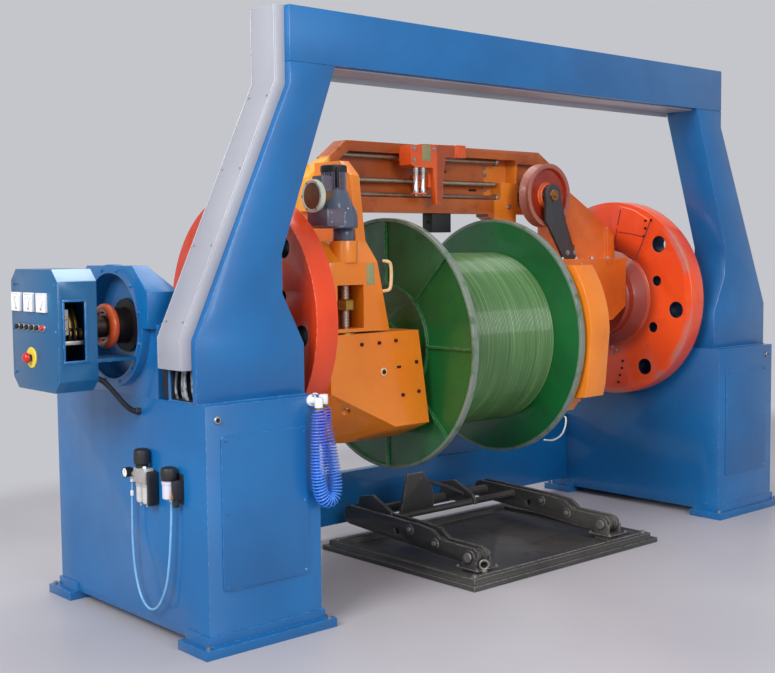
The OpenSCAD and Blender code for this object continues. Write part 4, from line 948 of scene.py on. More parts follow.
# Floor lift
# A black enamelled tray with hinge brackets, on which two pairs of flame-cut arm plates turn on pins.
# Tubes and a cradle join the pairs. Its edges are worn to bare metal by the drums.
worn_black = sprayed("worn_black_enamel", rgb(50, 49, 50), rgb(72, 70, 68), rgb(168, 164, 156),
    wear=0.85, grime=0.35, rough=0.42, gloss=0.25, edge=0.007)
dressed("lift_base", worn_black, 0.003)
dressed("lift_arms", worn_black, 0.003)
bare = plain_finish("worn_steel", (120, 118, 114), (176, 174, 168), 0.38, 0.2, grain=30.0, detail=6.0,
    stretch=(0.3, 1, 1), Metallic=0.75)
pin_y = -0.560
pin_z = 0.105
arm_out = 0.495
lift_x = 0.050
tray_top = 0.050
bracket_top = 0.0565
rim_inset = 0.055
bush_spots = ((-0.310, 0.125), (-0.130, 0.165))
for side, name in both_sides:
    x = lift_x + side * arm_out
    for face in (-1, 1):
        turned(f"{name}_pin_cap_{'in' if face * side < 0 else 'out'}", [(0, 0), (0.022, 0), (0.024, 0.003),
            (0.022, 0.009), (0.012, 0.010), (0, 0.010)], (x + face * 0.060, pin_y, pin_z), (face, 0, 0),
            bare, "frame", 32)
    for face in (-1, 1):
        bush_bolts = [(x + face * 0.040, y, z) for y, z in bush_spots]
        bolt_heads(f"{name}_bush_bolts_{'a' if face < 0 else 'b'}", bush_bolts, (face, 0, 0), 0.011,
            bare, "lift", 1.3)
    block(name + "_bracket_foot", (x - 0.075, pin_y - 0.075, tray_top),
        (x + 0.075, pin_y + 0.075, bracket_top), worn_black, "frame", 0.002)
    bolt_heads(name + "_foot_bolts", [(x + dx, pin_y + dy, bracket_top) for dx in (-0.066, 0.066)
        for dy in (-0.062, 0.062)], upward, 0.007, bare, "frame", 1.2)
eye_x = -0.480
eye_y = -0.640
bpy.ops.object.select_all(action="DESELECT")
bpy.ops.mesh.primitive_torus_add(major_radius=0.021, minor_radius=0.0055, major_segments=32,
    minor_segments=10, location=(eye_x, eye_y, 0.082),
    rotation=(math.radians(90), 0, math.radians(-40)))
eye = bpy.context.object
eye.name = "lifting_eye"
finish(eye, bare, "frame")
turned("lifting_eye_foot", [(0, 0), (0.016, 0), (0.016, 0.006), (0.008, 0.012), (0, 0.012)],
    (eye_x, eye_y, tray_top), upward, bare, "frame", 24)
base_low, base_high = at("lift_base")
corner_bolts = [(x, y, tray_top) for x in (base_low.x + rim_inset, base_high.x - rim_inset)
    for y in (base_low.y + rim_inset, base_high.y - rim_inset)]
bolt_heads("lift_floor_bolts", corner_bolts, upward, 0.011, bare, "frame", 1.5)
for k, y in enumerate((base_low.y + rim_inset, base_high.y - rim_inset)):
    bead(f"lift_rim_weld_{k + 1}", [(base_low.x + 0.025, y, tray_top), (base_high.x - 0.025, y, tray_top)],
        0.0025, worn_black, "frame")


# Rotor discs
# Two turned steel discs in gloss red-orange enamel. The rims show bare metal where slings and dollies
# have rubbed them. Bolt circles hold them to the shafts and arms.
disc_radius = 0.568
left_disc_low = at("left_disc")[0]
right_disc_high = at("right_disc")[1]
hub_face = right_disc_high.x - 0.115
pad_face = hub_face - 0.012
holes = [(0.465, 0.045, angle) for angle in (47, 97, 148, 227, 277, 328)]
holes += [(0.345, 0.028, angle) for angle in (72, 118, 252, 298)]


def away_from(paint, letters, centre):
    """How far a point lies from an axis, for paint that follows a turned part."""
    first, second = [paint.along(letter) for letter in letters]
    return ((first - centre[0]) ** 2 + (second - centre[1]) ** 2) ** 0.5


def bore_painted_shade(paint):
    """Painted shade in the bores through the disc, dark as deep holes look."""
    inside = None
    for ring, radius, angle in holes:
        centre_y = -ring * math.sin(math.radians(angle))
        centre_z = axis_z + ring * math.cos(math.radians(angle))
        reach = away_from(paint, "YZ", (centre_y, centre_z))
        bore = 1.0 - reach.above(radius + 0.001, radius + 0.003)
        inside = bore if inside is None else inside.math("MAXIMUM", bore)
    return inside, rgb(20, 16, 34)


def shaded_edge(paint):
    """Painted shade in a band that runs round the left disc's outer face, inside its rim."""
    reach = away_from(paint, "YZ", (0, axis_z))
    across = paint.along("X")
    face = 1.0 - across.above(left_disc_low.x + 0.001, left_disc_low.x + 0.004)
    return 0.30 * face * reach.above(0.475, 0.540), rgb(180, 40, 10)


def rubbed_edge(paint):
    """Primer and bare metal where slings rub the right disc's corner."""
    reach = away_from(paint, "YZ", (0, axis_z))
    across = paint.along("X")
    near = 1.0 - across.above(hub_face + 0.020, hub_face + 0.030)
    patches = paint.noise(5.0, 5.0).above(0.42, 0.60)
    return 0.75 * near * reach.above(disc_radius - 0.045, disc_radius - 0.020) * patches, rgb(186, 122, 112)


def hub_painted_shade(paint):
    """Painted shade on the hub's cone and on the face round it."""
    reach = away_from(paint, "YZ", (0, axis_z))
    across = paint.along("X")
    cone = 1.0 - across.above(hub_face - 0.014, hub_face - 0.006)
    near = 1.0 - across.above(hub_face + 0.004, hub_face + 0.010)
    return (0.88 * cone).math("MAXIMUM", near * (0.65 - 0.65 * reach.above(0.28, 0.38))) * (
        1.0 - reach.above(0.29, 0.40)), rgb(112, 28, 12)


red_orange = sprayed("red_orange_enamel", rgb(238, 80, 30), rgb(222, 64, 24), rgb(214, 150, 130),
    wear=0.55, grime=0.14, rough=0.24, gloss=0.6, edge=0.008)
# The discs' zones paint shade in their bores, in a band inside the left rim and on the right hub.
left_disc_paint = sprayed("left_disc_enamel", rgb(228, 70, 22), rgb(212, 56, 16), rgb(250, 180, 150),
    wear=0.6, grime=0.06, rough=0.26, gloss=0.35, edge=0.008, zones=(shaded_edge, bore_painted_shade))
right_disc_paint = sprayed("right_disc_enamel", rgb(246, 86, 32), rgb(232, 72, 26), rgb(196, 140, 130),
    wear=0.6, grime=0.16, rough=0.26, gloss=0.5, edge=0.008, zones=(hub_painted_shade, rubbed_edge, bore_painted_shade))
disc_edge = 0.006
dressed("left_disc", left_disc_paint, disc_edge, 3)
dressed("right_disc", right_disc_paint, disc_edge, 3)
for name, x, facing in (("left_hub_flange", left_disc_low.x, -1),
        ("right_hub_flange", right_disc_high.x, 1)):
    turned(name, [(0.0755, 0), (0.170, 0), (0.170, 0.018), (0.166, 0.022), (0.105, 0.022), (0.098, 0.028),
        (0.094, 0.040), (0.0755, 0.040)], (x, 0, axis_z), (facing, 0, 0), red_orange,
        "rotor", 64)
    flange_bolts = [(x + facing * 0.022, y, axis_z + z) for z, y in circle(0.138, range(0, 360, 36))]
    bolt_heads(name + "_bolts", flange_bolts, (facing, 0, 0), 0.013, zinc, "rotor", 1.3)
bolt_heads("hub_bolts", [(hub_face, y, z) for y, z in ((-0.020, 0.965), (-0.052, 0.946), (-0.016, 0.929))],
    leftward, 0.008, zinc, "rotor", 1.2)
dark_steel = plain_finish("oiled_steel", (42, 30, 28), (66, 52, 48), 0.4, 0.2, grain=70.0, film=90.0,
    Metallic=0.7)
bolt_heads("pad_screws", [(pad_face, y, z) for y, z in ((-0.256, 1.708), (-0.295, 1.711), (-0.256, 1.664),
    (-0.246, 1.619))], leftward, 0.0065, dark_steel, "rotor", 1.2)
seam_paint = plain_finish("seam_shade", (104, 28, 14), (146, 44, 22), 0.5, 0.2, film=90.0)
pad_seams = [((-0.290, 0.450), (-0.235, 0.330), (-0.190, 0.230), (-0.110, 0.265)),
    ((-0.236, 0.362), (-0.150, 0.380), (-0.060, 0.392)), ((-0.078, 0.520), (-0.056, 0.430)),
    ((-0.052, 0.410), (-0.036, 0.330))]
for number, seam in enumerate(pad_seams):
    bead(f"pad_seam_{number + 1}", [(pad_face, y, axis_z + z) for y, z in seam], 0.0032, seam_paint,
        "rotor")
bolt_heads("balance_screws", [(hub_face, y, z) for y, z in ((-0.090, 0.883), (-0.084, 0.841),
    (-0.070, 0.798), (-0.059, 0.756))], leftward, 0.0065, dark_steel, "rotor", 1.2)


# Shafts, brake and slip rings
# Ground steel shafts turn in the bearings. The brake ring sits just outside the left housing, and five
# brass rings on black insulation stand in the box.
ground = plain_finish("ground_steel", (150, 150, 152), (200, 200, 202), 0.22, 0.15, grain=14.0, detail=4.0,
    stretch=(30, 1, 1), Metallic=1.0)
dressed("left_shaft", dark_steel, 0.002)
for node in ("right_shaft", "left_pintle", "right_pintle"):
    dressed(node, ground, 0.002)
# The brake ring's enamel is a lighter copy of the red-orange, painted light against the shade it sits in.
brake_lightened_paint = sprayed("brake_enamel", rgb(248, 104, 44), rgb(236, 84, 30), rgb(250, 170, 120), wear=0.5,
    grime=0.08, rough=0.24, gloss=0.6)
dressed("brake_disc", brake_lightened_paint, 0.0)
dressed("slip_rings", brass, 0.001)
brake_low = at("brake_disc")[0]
brake_bolts = [(brake_low.x + 0.010, y, axis_z + z) for z, y in circle(0.060, range(0, 360, 60))]
bolt_heads("brake_bolts", brake_bolts, leftward, 0.006, dark_steel, "rotor", 1.2)
rings_low, rings_high = at("slip_rings")
ring_width = 0.012
ring_step = (rings_high.x - rings_low.x - ring_width) / 4
rightward = (1, 0, 0)
for k in range(4):
    x = rings_low.x + ring_width + ring_step * k
    turned(f"ring_insulator_{k + 1}", [(0.046, 0), (0.100, 0), (0.100, ring_step - ring_width),
        (0.046, ring_step - ring_width)], (x, 0, axis_z), rightward, black, "rotor", 48)


# Screw threads
# The lift screws and the traverse screw are of bright steel with rolled trapezoidal threads, and each
# thread is one coil round the core. They are held in the arms and beside the carriage's two rails.
def thread(name, start, axis, length, radius, pitch, material, body):
    """A real helical thread: one tooth profile swept along a screw line."""
    bpy.ops.object.select_all(action="DESELECT")
    bpy.ops.mesh.primitive_circle_add(vertices=4, radius=1)
    piece = bpy.context.object
    piece.name = name
    tooth = [(radius - 0.12 * pitch, 0), (radius, 0.16 * pitch), (radius, 0.44 * pitch),
        (radius - 0.12 * pitch, 0.62 * pitch)]
    for vertex, (reach, along) in zip(piece.data.vertices, tooth):
        vertex.co = (reach, 0, along)
    sweep = piece.modifiers.new("sweep", "SCREW")
    sweep.axis = "Z"
    sweep.screw_offset = pitch
    sweep.iterations = int(length / pitch) - 1
    sweep.steps = 20
    sweep.render_steps = 20
    bpy.ops.object.modifier_apply(modifier=sweep.name)
    piece.matrix_world = Matrix.Translation(start) @ aimed(axis)
    return finish(piece, material, body, (), 40)


screw_x = -1.030
screw_y = 0.305
rail_y = 0.100
screw_height = 1.906
rod = plain_finish("screw_steel", (136, 112, 92), (190, 176, 160), 0.28, 0.2, grain=26.0, detail=4.0,
    Metallic=0.9)
dressed("rails_and_screws", rod, 0.0)
thread("traverse_screw_thread", (-0.895, rail_y, screw_height), rightward, 1.28, 0.0138,
    0.010, rod, "rotor")
screw_foot = 0.845
for name, y, high in (("front_left", -screw_y, 1.60), ("rear_left", screw_y, 1.46)):
    thread(name + "_lift_thread", (screw_x, y, screw_foot), upward, high - screw_foot, 0.0218,
        0.014, rod, "rotor")


# Rotor arms
# Welded box arms in orange enamel on the two discs. The left one has the slot that the lift screw
# shows through, a grip, an identification patch that was sprayed over and the seat of the gearmotor.
orange = sprayed("orange_enamel", rgb(243, 140, 32), rgb(230, 122, 22), rgb(252, 196, 110), wear=0.5,
    grime=0.10, rough=0.28, gloss=0.5)
# The right arm's enamel is a darker copy of the orange: painted shade, with some grime.
right_arm_shaded_orange = sprayed("right_arm_enamel", rgb(226, 112, 30), rgb(196, 84, 18), rgb(246, 170, 90), wear=0.5,
    grime=0.30, rough=0.30, gloss=0.5)


def yellow_end(paint):
    """The sloping end plate, painted yellow."""
    across = paint.along("X")
    return 0.85 - 0.85 * across.above(-0.830, -0.800), rgb(242, 178, 58)


def bright_block(paint):
    """The end block at the sheave, in a brighter orange than the beam's painted shade."""
    low_end = paint.along("X").above(0.330, 0.345) * (1.0 - paint.along("Z").above(2.000, 2.020))
    return 0.8 * low_end, rgb(240, 136, 30)


# The traverse beam's enamel is a darker copy of the orange: painted shade for its channel, with grime on top.
traverse_shaded_orange = sprayed("shop_orange_enamel", rgb(190, 94, 28), rgb(158, 70, 16), rgb(236, 160, 80), wear=0.6,
    grime=0.5, rough=0.34, gloss=0.4, zones=(yellow_end, bright_block))
dressed("left_arm", orange, 0.006, 3)
dressed("right_arm", right_arm_shaded_orange, 0.006, 3)
dressed("traverse_beam", traverse_shaded_orange, 0.005)
face_y = -0.350
cream_orange = plain_finish("rubbed_grip_enamel", (214, 170, 104), (246, 214, 164), 0.3, 0.2, grain=50.0,
    detail=4.0, film=80.0)
grip_y = face_y - 0.022
grip_line = [(-0.836, face_y, 1.508), (-0.824, grip_y, 1.504), (-0.810, grip_y, 1.490),
    (-0.806, grip_y, 1.440), (-0.812, grip_y, 1.388), (-0.826, grip_y, 1.374), (-0.838, face_y, 1.370)]
bead("arm_grip", smooth_route(grip_line, 4), 0.008, cream_orange, "rotor")
patch_paint = plain_finish("grey_green_patch", (128, 134, 96), (168, 160, 112), 0.4, 0.2, detail=4.0)
block("oversprayed_patch", (-0.936, face_y - 0.0012, 1.400), (-0.889, face_y, 1.497), patch_paint,
    "rotor", 0.0004)
turned("slot_bolt", [(0, 0), (0.017, 0), (0.017, 0.004), (0.010, 0.008), (0, 0.008)],
    (-1.122, face_y, 1.318), frontward, dark_steel, "rotor", 32)
nut_z = 1.290
turned("lift_nut", [(0.0205, 0), (0.040, 0), (0.042, 0.003), (0.042, 0.042), (0.034, 0.048),
    (0.0205, 0.048)], (screw_x, -screw_y, nut_z), upward, brass, "rotor", 6, (), 20)
slab_right = -1.149
seam_y = 0.303
for side, name in ((-1, "front"), (1, "rear")):
    bead("slab_weld_" + name, [(slab_right, side * seam_y, 1.195), (slab_right, side * seam_y, 1.500)],
        0.005, orange, "rotor")
roof_z = 1.600
rib_foot = roof_z + 0.002
rib_near = -0.847
bead("rib_weld", [(rib_near, -0.225, rib_foot), (rib_near, 0.235, rib_foot)], 0.006, orange,
    "rotor")
bolt_heads("roof_bolts", [(x, y, roof_z) for x in (-1.245, -1.190) for y in (-0.10, 0.10, 0.20)], upward,
    0.010, zinc, "rotor")

ledge_top = 1.495
bolt_heads("ledge_bolts", [(x, y, ledge_top) for x in (0.640, 0.760, 0.900, 1.040)
    for y in (-0.165, 0.185)], upward, 0.011, zinc, "rotor")
column_face = 0.760
weld_x = column_face + 0.002
bead("column_weld", [(weld_x, -0.203, 1.150), (weld_x, -0.203, 1.472)], 0.005, orange,
    "rotor")
bolt_heads("column_bolts", [(column_face, y, z) for y in (-0.150, 0.150) for z in (0.760, 0.860, 0.960)],
    rightward, 0.012, zinc, "rotor")


# Traverse beam
# A channel of folded plate between the arms that carries the rails. It is bolted at both ends, and its
# web has two adjusting slots.
web_y = 0.140
# The slots are thin dark plates, painted shade where the openings would be.
slot_painted_shade = plain_finish("slot_shade", (16, 10, 8), (30, 20, 14), 0.8, 0.1, film=90.0)
for k, (x, z) in enumerate(((-0.690, 1.968), (-0.690, 1.875), (0.020, 1.968), (0.250, 1.875))):
    block(f"web_slot_{k + 1}", (x - 0.030, web_y - 0.0012, z - 0.006),
        (x + 0.030, web_y + 0.001, z + 0.006), slot_painted_shade, "rotor", 0.0004)
bolt_heads("web_bolts", [(x, web_y, z) for x in (-0.815, 0.345) for z in (1.880, 1.960, 2.000)], frontward,
    0.009, zinc, "rotor")
bolt_heads("rail_end_bolts", [(0.453, 0.060, 1.785)], frontward, 0.010, zinc, "rotor")
for x, z in ((-0.742, 2.027), (0.393, 2.027), (-0.900, 1.835), (0.393, 1.835)):
    facing = 1 if x < 0 else -1
    turned(f"rail_collar_{'left' if x < 0 else 'right'}_{int(z * 1000)}", [(0.0125, 0), (0.022, 0),
        (0.022, 0.012), (0.019, 0.015), (0.0125, 0.015)], (x, rail_y, z), (facing, 0, 0),
        zinc, "rotor", 32)


# Gearmotor
# A grey cast worm gearbox bolted on the left arm. Its finned motor stands on top with a black fan cowl
# and a terminal box, and a round cover with a cream rim closes its side.
grey_cast = sprayed("cast_grey_enamel", rgb(84, 96, 118), rgb(66, 78, 100), rgb(170, 182, 204), wear=0.35,
    grime=0.25, rough=0.26, gloss=0.6, edge=0.004)
lilac_cast = sprayed("box_grey_enamel", rgb(104, 96, 112), rgb(84, 78, 96), rgb(170, 164, 180), wear=0.3,
    grime=0.25, rough=0.34, gloss=0.4, edge=0.003)
gear_y = -0.330
motor_x = -1.104
foot_z = 1.600
bell_z = 1.655
motor_z = 1.822
cowl_z = 1.903
motor_radius = 0.056
turned("gearbox_foot", [(0.0205, 0), (0.048, 0), (0.050, 0.003), (0.050, 0.046), (0.046, 0.055),
    (0.0205, 0.055)], (screw_x, -screw_y, foot_z), upward, grey_cast, "rotor", 48)
bell = turned("motor_bell", [(0, 0), (0.097, 0), (0.102, 0.003), (0.104, 0.008), (0.104, 0.016),
    (0.104, 0.048), (0.1035, 0.057), (0.098, 0.075), (0.087, 0.098), (0.075, 0.124), (0.067, 0.146),
    (0.062, 0.160), (0.060, 0.167), (0, 0.167)], (motor_x, gear_y, bell_z), upward, grey_cast, "rotor",
    120, ("gearmotor",), 40)
for vertex in bell.data.vertices:
    away = Vector((vertex.co.x - motor_x, vertex.co.y - gear_y, 0))
    turn = math.degrees(math.atan2(away.y, away.x)) % 45
    if 18 < turn < 27 and bell_z + 0.010 < vertex.co.z < bell_z + 0.090 and away.length > 0.06:
        vertex.co -= away.normalized() * 0.012
block("gearbox", (motor_x - 0.118, gear_y - 0.098, bell_z + 0.006),
    (motor_x + 0.008, gear_y + 0.050, bell_z + 0.084), lilac_cast, "rotor", 0.012)
block("gearbox_lid", (motor_x - 0.104, gear_y - 0.1005, bell_z + 0.018),
    (motor_x - 0.012, gear_y - 0.096, bell_z + 0.072), lilac_cast, "rotor", 0.002)
bolt_heads("gearbox_lid_bolts", [(motor_x + x, gear_y - 0.1005, bell_z + z) for x in (-0.096, -0.020)
    for z in (0.025, 0.065)], frontward, 0.0042, zinc, "rotor", 1.2)
bell_bolts = [(motor_x + x, gear_y + y, bell_z + 0.082) for x, y in circle(0.094, range(-90, 91, 45))]
bolt_heads("bell_bolts", bell_bolts, upward, 0.006, zinc, "rotor")
fins = 28
fin_root = 0.90
bpy.ops.object.select_all(action="DESELECT")
bpy.ops.mesh.primitive_cylinder_add(vertices=4 * fins, radius=motor_radius, depth=cowl_z - motor_z,
    location=(motor_x, gear_y, (cowl_z + motor_z) / 2))
motor = bpy.context.object
motor.name = "motor_body"
for vertex in motor.data.vertices:
    step = round(math.atan2(vertex.co.y, vertex.co.x) / (2 * math.pi) * 4 * fins) % 4
    if step >= 2:
        vertex.co.x *= fin_root
        vertex.co.y *= fin_root
finish(motor, lilac_cast, "rotor", (), 30)
turned("fan_cowl", [(0, 0), (0.0585, 0), (0.059, 0.002), (0.059, 0.020), (0.057, 0.027), (0.050, 0.031),
    (0.030, 0.032), (0.010, 0.0315), (0, 0.030)], (motor_x, gear_y, cowl_z), upward, black,
    "rotor", 56)
block("cowl_strap", (motor_x - 0.030, gear_y - 0.0605, cowl_z - 0.070),
    (motor_x - 0.016, gear_y - 0.047, cowl_z + 0.020), black, "rotor", 0.002)
for k in range(3):
    bpy.ops.object.select_all(action="DESELECT")
    bpy.ops.mesh.primitive_torus_add(major_radius=0.014 + 0.011 * k, minor_radius=0.0014, major_segments=48,
        minor_segments=6, location=(motor_x, gear_y, cowl_z + 0.0322 - 0.0004 * k * k))
    ring = bpy.context.object
    ring.name = f"cowl_ring_{k + 1}"
    finish(ring, black, "rotor", (), 60)
block("terminal_box", (motor_x - 0.102, gear_y - 0.045, cowl_z - 0.090),
    (motor_x - 0.046, gear_y + 0.025, cowl_z - 0.018), lilac_cast, "rotor", 0.005)
block("terminal_lid", (motor_x - 0.1045, gear_y - 0.042, cowl_z - 0.087),
    (motor_x - 0.101, gear_y + 0.022, cowl_z - 0.021), lilac_cast, "rotor", 0.002)
turned("terminal_gland", [(0.004, 0), (0.009, 0), (0.009, 0.010), (0.004, 0.013)],
    (motor_x - 0.074, gear_y - 0.010, cowl_z - 0.090), downward, black, "rotor", 6, (), 20)
cream = plain_finish("cream_enamel", (196, 206, 186), (222, 226, 206), 0.4, 0.15, grain=30.0, film=60.0)
brown = plain_finish("brown_cover", (92, 60, 30), (128, 92, 58), 0.45, 0.2, grain=24.0, detail=5.0, film=50.0)
cover_x = -1.214
cover_y = gear_y - 0.010
cover_z = 1.795
turned("gear_neck", [(0, 0), (0.040, 0), (0.040, 0.100), (0, 0.100)], (cover_x, cover_y, cover_z),
    rightward, brown, "rotor", 48)
turned("gear_cover", [(0, 0), (0.070, 0), (0.072, 0.003), (0.072, 0.022), (0.069, 0.026), (0.060, 0.026),
    (0.057, 0.022), (0, 0.022)], (cover_x, cover_y, cover_z), leftward, cream, "rotor", 64)
turned("gear_cover_face", [(0, 0), (0.0572, 0), (0.0572, 0.0015), (0.052, 0.0026), (0, 0.0026)],
    (cover_x - 0.0215, cover_y, cover_z), leftward, brown, "rotor", 56)
rim_bolts = [(cover_x - 0.026, cover_y + y, cover_z + z) for y, z in circle(0.0645, range(0, 360, 60))]
bolt_heads("gear_cover_bolts", rim_bolts, leftward, 0.004, zinc, "rotor")


# Wire sensor
# A black plastic switch case, screwed under the traverse beam, with a zinc-plated feeler ring for the
# wire and a hexagon gland for its lead.
dressed("wire_sensor", black, 0.003)
turned("feeler_ring", [(0.0125, 0), (0.016, 0), (0.016, 0.006), (0.0125, 0.006)], (0.017, 0.105, 1.675),
    rightward, zinc, "rotor", 32)
turned("sensor_gland", [(0, 0), (0.009, 0), (0.009, 0.012), (0.006, 0.016), (0, 0.016)],
    (-0.120, 0.105, 1.700), leftward, black, "rotor", 6, (), 20)


# Carriage
# The traverse carriage rides on the rails, with a right half grimed by grease and a patch where a
# label was sprayed over. Two grooved guide rollers turn on pins in its left half.
def greasy_half(paint):
    """The right half, brown with grease between the rails."""
    across = paint.along("X")
    middle = across.above(-0.185, -0.175) * (1.0 - across.above(-0.056, -0.050))
    return 0.7 * middle * paint.noise(9.0, 4.0).above(0.15, 0.5), rgb(128, 58, 26)


carriage_paint = sprayed("carriage_enamel", rgb(238, 98, 34), rgb(218, 78, 24), rgb(250, 170, 120),
    wear=0.6, grime=0.2, rough=0.3, gloss=0.5, edge=0.006, zones=(greasy_half,))
dressed("carriage", carriage_paint, 0.004, 3)
car_y = -0.030
block("carriage_patch", (-0.283, car_y - 0.0012, 2.003), (-0.223, car_y, 2.084), patch_paint, "carriage",
    0.0004)
bolt_heads("carriage_bolts", [(x, car_y, z) for x, z in ((-0.340, 2.066), (-0.340, 2.006),
    (-0.200, 2.066))], frontward, 0.008, zinc, "carriage")
roller_steel = plain_finish("roller_steel", (196, 194, 196), (236, 235, 238), 0.22, 0.12, grain=20.0,
    stretch=(1, 1, 12), Metallic=0.8)
roller_y = -0.008
bridge_foot = 1.835
roller_low = 1.843
roller_high = 1.971
roller_pins = (-0.308, -0.260)
length = roller_high - roller_low
for k, x in enumerate(roller_pins):
    turned(f"guide_roller_{k + 1}", [(0, 0), (0.0125, 0), (0.0130, 0.002), (0.0130, 0.020), (0.0115, 0.024),
        (0.0115, length - 0.024), (0.0130, length - 0.020), (0.0130, length), (0, length)],
        (x, roller_y, roller_low), upward, roller_steel, "carriage", 40,
        ("wire_roller",) if k == 0 else ())
block("roller_bridge", (-0.326, roller_y - 0.014, bridge_foot), (-0.242, roller_y + 0.014, roller_low),
    carriage_paint, "carriage", 0.002)
bolt_heads("roller_nuts", [(x, roller_y, bridge_foot) for x in roller_pins], downward, 0.007, zinc,
    "carriage", 1.2)


# Guide sheave
# A cast sheave with a worn groove and rim on a bronze hub. It turns on a pin that a forged black arm
# and the traverse beam hold.
sheave_axis = (0.600, 1.845)
sheave_radius = 0.175


def worn_rim(paint):
    """The rim, which wires have polished."""
    reach = away_from(paint, "XZ", sheave_axis)
    return 0.85 * reach.above(sheave_radius - 0.026, sheave_radius - 0.020), rgb(168, 104, 88)


def bright_ring(paint):
    """The turned ring round the hub, in fresh enamel."""
    reach = away_from(paint, "XZ", sheave_axis)
    return reach.above(0.058, 0.060) * (1.0 - reach.above(0.070, 0.074)), rgb(232, 104, 50)


sheave_paint = sprayed("sheave_enamel", rgb(176, 52, 20), rgb(140, 38, 16), rgb(196, 176, 170), wear=0.6,
    grime=0.25, rough=0.32, gloss=0.45, edge=0.005, zones=(worn_rim, bright_ring))
dressed("guide_sheave", sheave_paint, 0.003)
guard_paint = sprayed("guard_enamel", rgb(58, 58, 62), rgb(44, 44, 48), rgb(150, 148, 146), wear=0.6,
    grime=0.2, rough=0.4, gloss=0.3, edge=0.005)
dressed("sheave_bracket", guard_paint, 0.003)
bronze = plain_finish("bronze_bush", (150, 96, 52), (188, 132, 82), 0.3, 0.2, film=80.0, Metallic=0.9)
sheave_low, sheave_high = at("guide_sheave")
for face, y in (("front", sheave_low.y + 0.004), ("rear", sheave_high.y - 0.004)):
    facing = -1 if face == "front" else 1
    turned(f"sheave_bush_{face}", [(0.030, 0), (0.044, 0), (0.044, 0.003), (0.040, 0.005), (0.030, 0.005)],
        (sheave_axis[0], y, sheave_axis[1]), (0, facing, 0), bronze, "sheave", 40)
    pins = [(sheave_axis[0] + x, y, sheave_axis[1] + z) for x, z in circle(0.051, range(0, 360, 60))]
    bolt_heads(f"sheave_pins_{face}", pins, (0, facing, 0), 0.005, zinc, "sheave", 1.2)
turned("guard_pin", [(0, 0), (0.030, 0), (0.032, 0.003), (0.030, 0.010), (0.016, 0.012), (0.015, 0.020),
    (0, 0.021)], (sheave_axis[0], -0.140, sheave_axis[1]), frontward, bronze, "rotor", 36)
bolt_heads("guard_foot_bolts", [(0.715, -0.140, 1.530), (0.775, -0.140, 1.530)], frontward,
    0.010, zinc, "rotor")


# Carriers
# The left carrier hangs on two lift screws and the right one on one. Each holds a pintle that the
# drum's bore is pushed on to. The left one has bolted nuts and an adjusting slot on its face.
dressed("left_carrier", orange, 0.005, 3)
dressed("right_carrier", orange, 0.008, 4)
carrier_bolts = [(x, face_y, z) for x, z in ((-0.971, 1.131), (-0.866, 1.133), (-0.764, 1.138),
    (-0.635, 1.030), (-0.722, 0.880), (-0.621, 0.889))]
bolt_heads("carrier_bolts", carrier_bolts, frontward, 0.0085, dark_steel, "left_carrier", 1.0)
clamp_place = (-0.841, face_y, 0.997)
turned("carrier_clamp_ring", [(0.011, 0), (0.018, 0), (0.020, 0.002), (0.018, 0.006), (0.013, 0.007),
    (0.011, 0.005)], clamp_place, frontward, cream_orange, "left_carrier", 32)
bolt_heads("carrier_clamp", [clamp_place], frontward, 0.010, dark_steel, "left_carrier", 1.0)
# The adjusting slot is a thin dark plate of painted shade.
block("carrier_slot", (-0.757, face_y - 0.0015, 1.007), (-0.731, face_y, 1.019), slot_painted_shade,
    "left_carrier", 0.0005)
carrier_top = 1.180
for side in (-1, 1):
    turned(f"carrier_nut_{'front' if side < 0 else 'rear'}", [(0.0215, 0), (0.048, 0), (0.048, 0.006),
        (0.034, 0.008), (0.034, 0.0095), (0.0215, 0.0095)], (screw_x, side * screw_y, carrier_top), upward,
        brass, "left_carrier", 40)
back_face = 0.450
bolt_heads("right_carrier_bolts", [(back_face, side * y, z) for side in (-1, 1) for y, z in ((0.330, 1.380),
    (0.400, 1.180), (0.400, 0.960), (0.330, 0.840))], rightward, 0.013, orange,
    "right_carrier")


# Drum
# A pressed steel drum in green enamel. Its two flanges have radial ribs and rims rubbed bare by
# rolling. It is wound full with green wire, and a loop of the inner end shows on the right flange.
drum_axis = (0, 1.089)
flange_radius = 0.625


def rolled_rim(paint):
    """The flanges' rims, where rolling on the floor has rubbed them."""
    reach = away_from(paint, "YZ", drum_axis)
    rubbed = paint.noise(16.0, 5.0).above(0.22, 0.52)
    return 0.9 * reach.above(flange_radius - 0.018, flange_radius - 0.010) * rubbed, rgb(124, 132, 124)


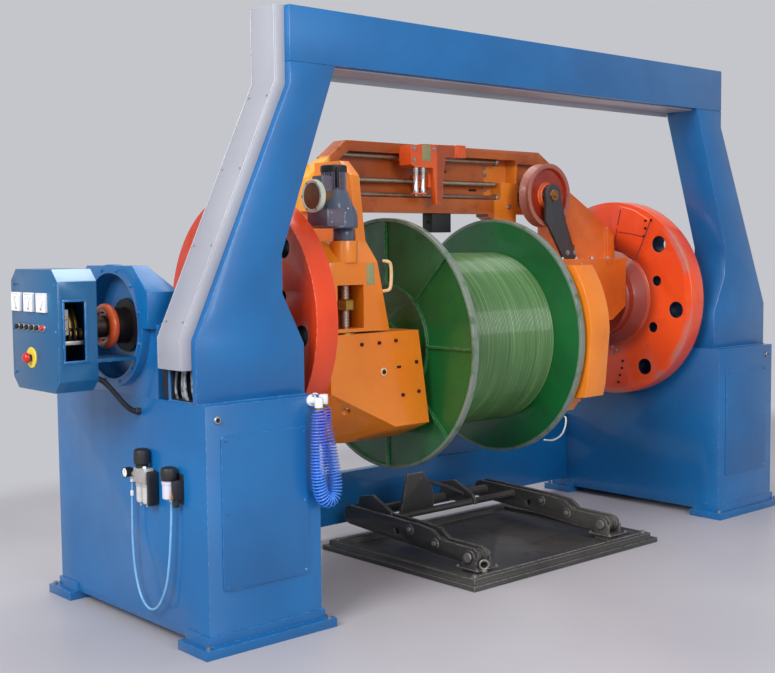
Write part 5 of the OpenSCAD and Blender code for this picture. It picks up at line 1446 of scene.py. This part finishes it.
green = sprayed("drum_green_enamel", rgb(16, 104, 46), rgb(12, 84, 38), rgb(150, 186, 150), wear=0.7,
    grime=0.25, rough=0.32, gloss=0.45, edge=0.005, zones=(rolled_rim,))
dressed("left_flange", green, 0.005, 3)
dressed("right_flange", green, 0.005, 3)
dressed("drum_barrel", green, 0.0)
wire_paint = Paint("green_wire")
layer_mark = wire_paint.noise(30.0, 3.0, stretch=(1, 0.02, 0.02)).above(0.48, 0.72)
wire_cloud = wire_paint.noise(3.0, 4.0)
wire_base = wire_paint.mix(wire_cloud, rgb(64, 106, 54), rgb(84, 126, 72))
# Light streaks along the turns are a painted sheen on the wire.
sheen_streak = wire_paint.noise(60.0, 3.0, stretch=(3, 0.03, 0.03)).above(0.50, 0.66)
wire_base = wire_paint.mix(0.45 * sheen_streak, wire_base, rgb(132, 172, 110))
wire_base = wire_paint.mix(0.5 * layer_mark, wire_base, rgb(48, 84, 46))
wire_paint.set(Base_Color=wire_base, Roughness=0.34 + 0.16 * wire_cloud, Coat_Weight=0.3)
wire_low, wire_high = at("wound_wire")
wire_radius = 0.448
wire_gauge = 0.0098
wound_width = wire_high.x - wire_low.x
turns_wide = int(wound_width / wire_gauge)
lay = wound_width / turns_wide
inner_radius = wire_radius - 0.016
wire_outline = [(inner_radius, 0.0), (inner_radius, wound_width)]
for k in reversed(range(turns_wide)):
    for share, lift in ((0.97, 0.35), (0.78, 0.86), (0.5, 1.0), (0.22, 0.86), (0.03, 0.35)):
        wire_outline.append((wire_radius - 0.5 * lay * (1 - lift), lay * (k + share)))
turned("wound_wire_turns", wire_outline, (wire_low.x, 0, drum_axis[1]), rightward, wire_paint.material,
    "drum", 128, ("wound_wire",), 60)
loop_paint = plain_finish("white_wire_end", (206, 214, 204), (236, 240, 232), 0.35, 0.1, grain=90.0,
    film=60.0)
loop_x = 0.281
loop_line = [(loop_x - 0.006, -0.350, 0.556), (loop_x, -0.357, 0.554), (loop_x, -0.402, 0.558),
    (loop_x, -0.438, 0.573), (loop_x, -0.468, 0.598), (loop_x, -0.486, 0.630), (loop_x, -0.494, 0.660),
    (loop_x, -0.493, 0.684), (loop_x - 0.006, -0.491, 0.692)]
bead("wire_end_loop", smooth_route(loop_line, 6), 0.0045, loop_paint, "drum")
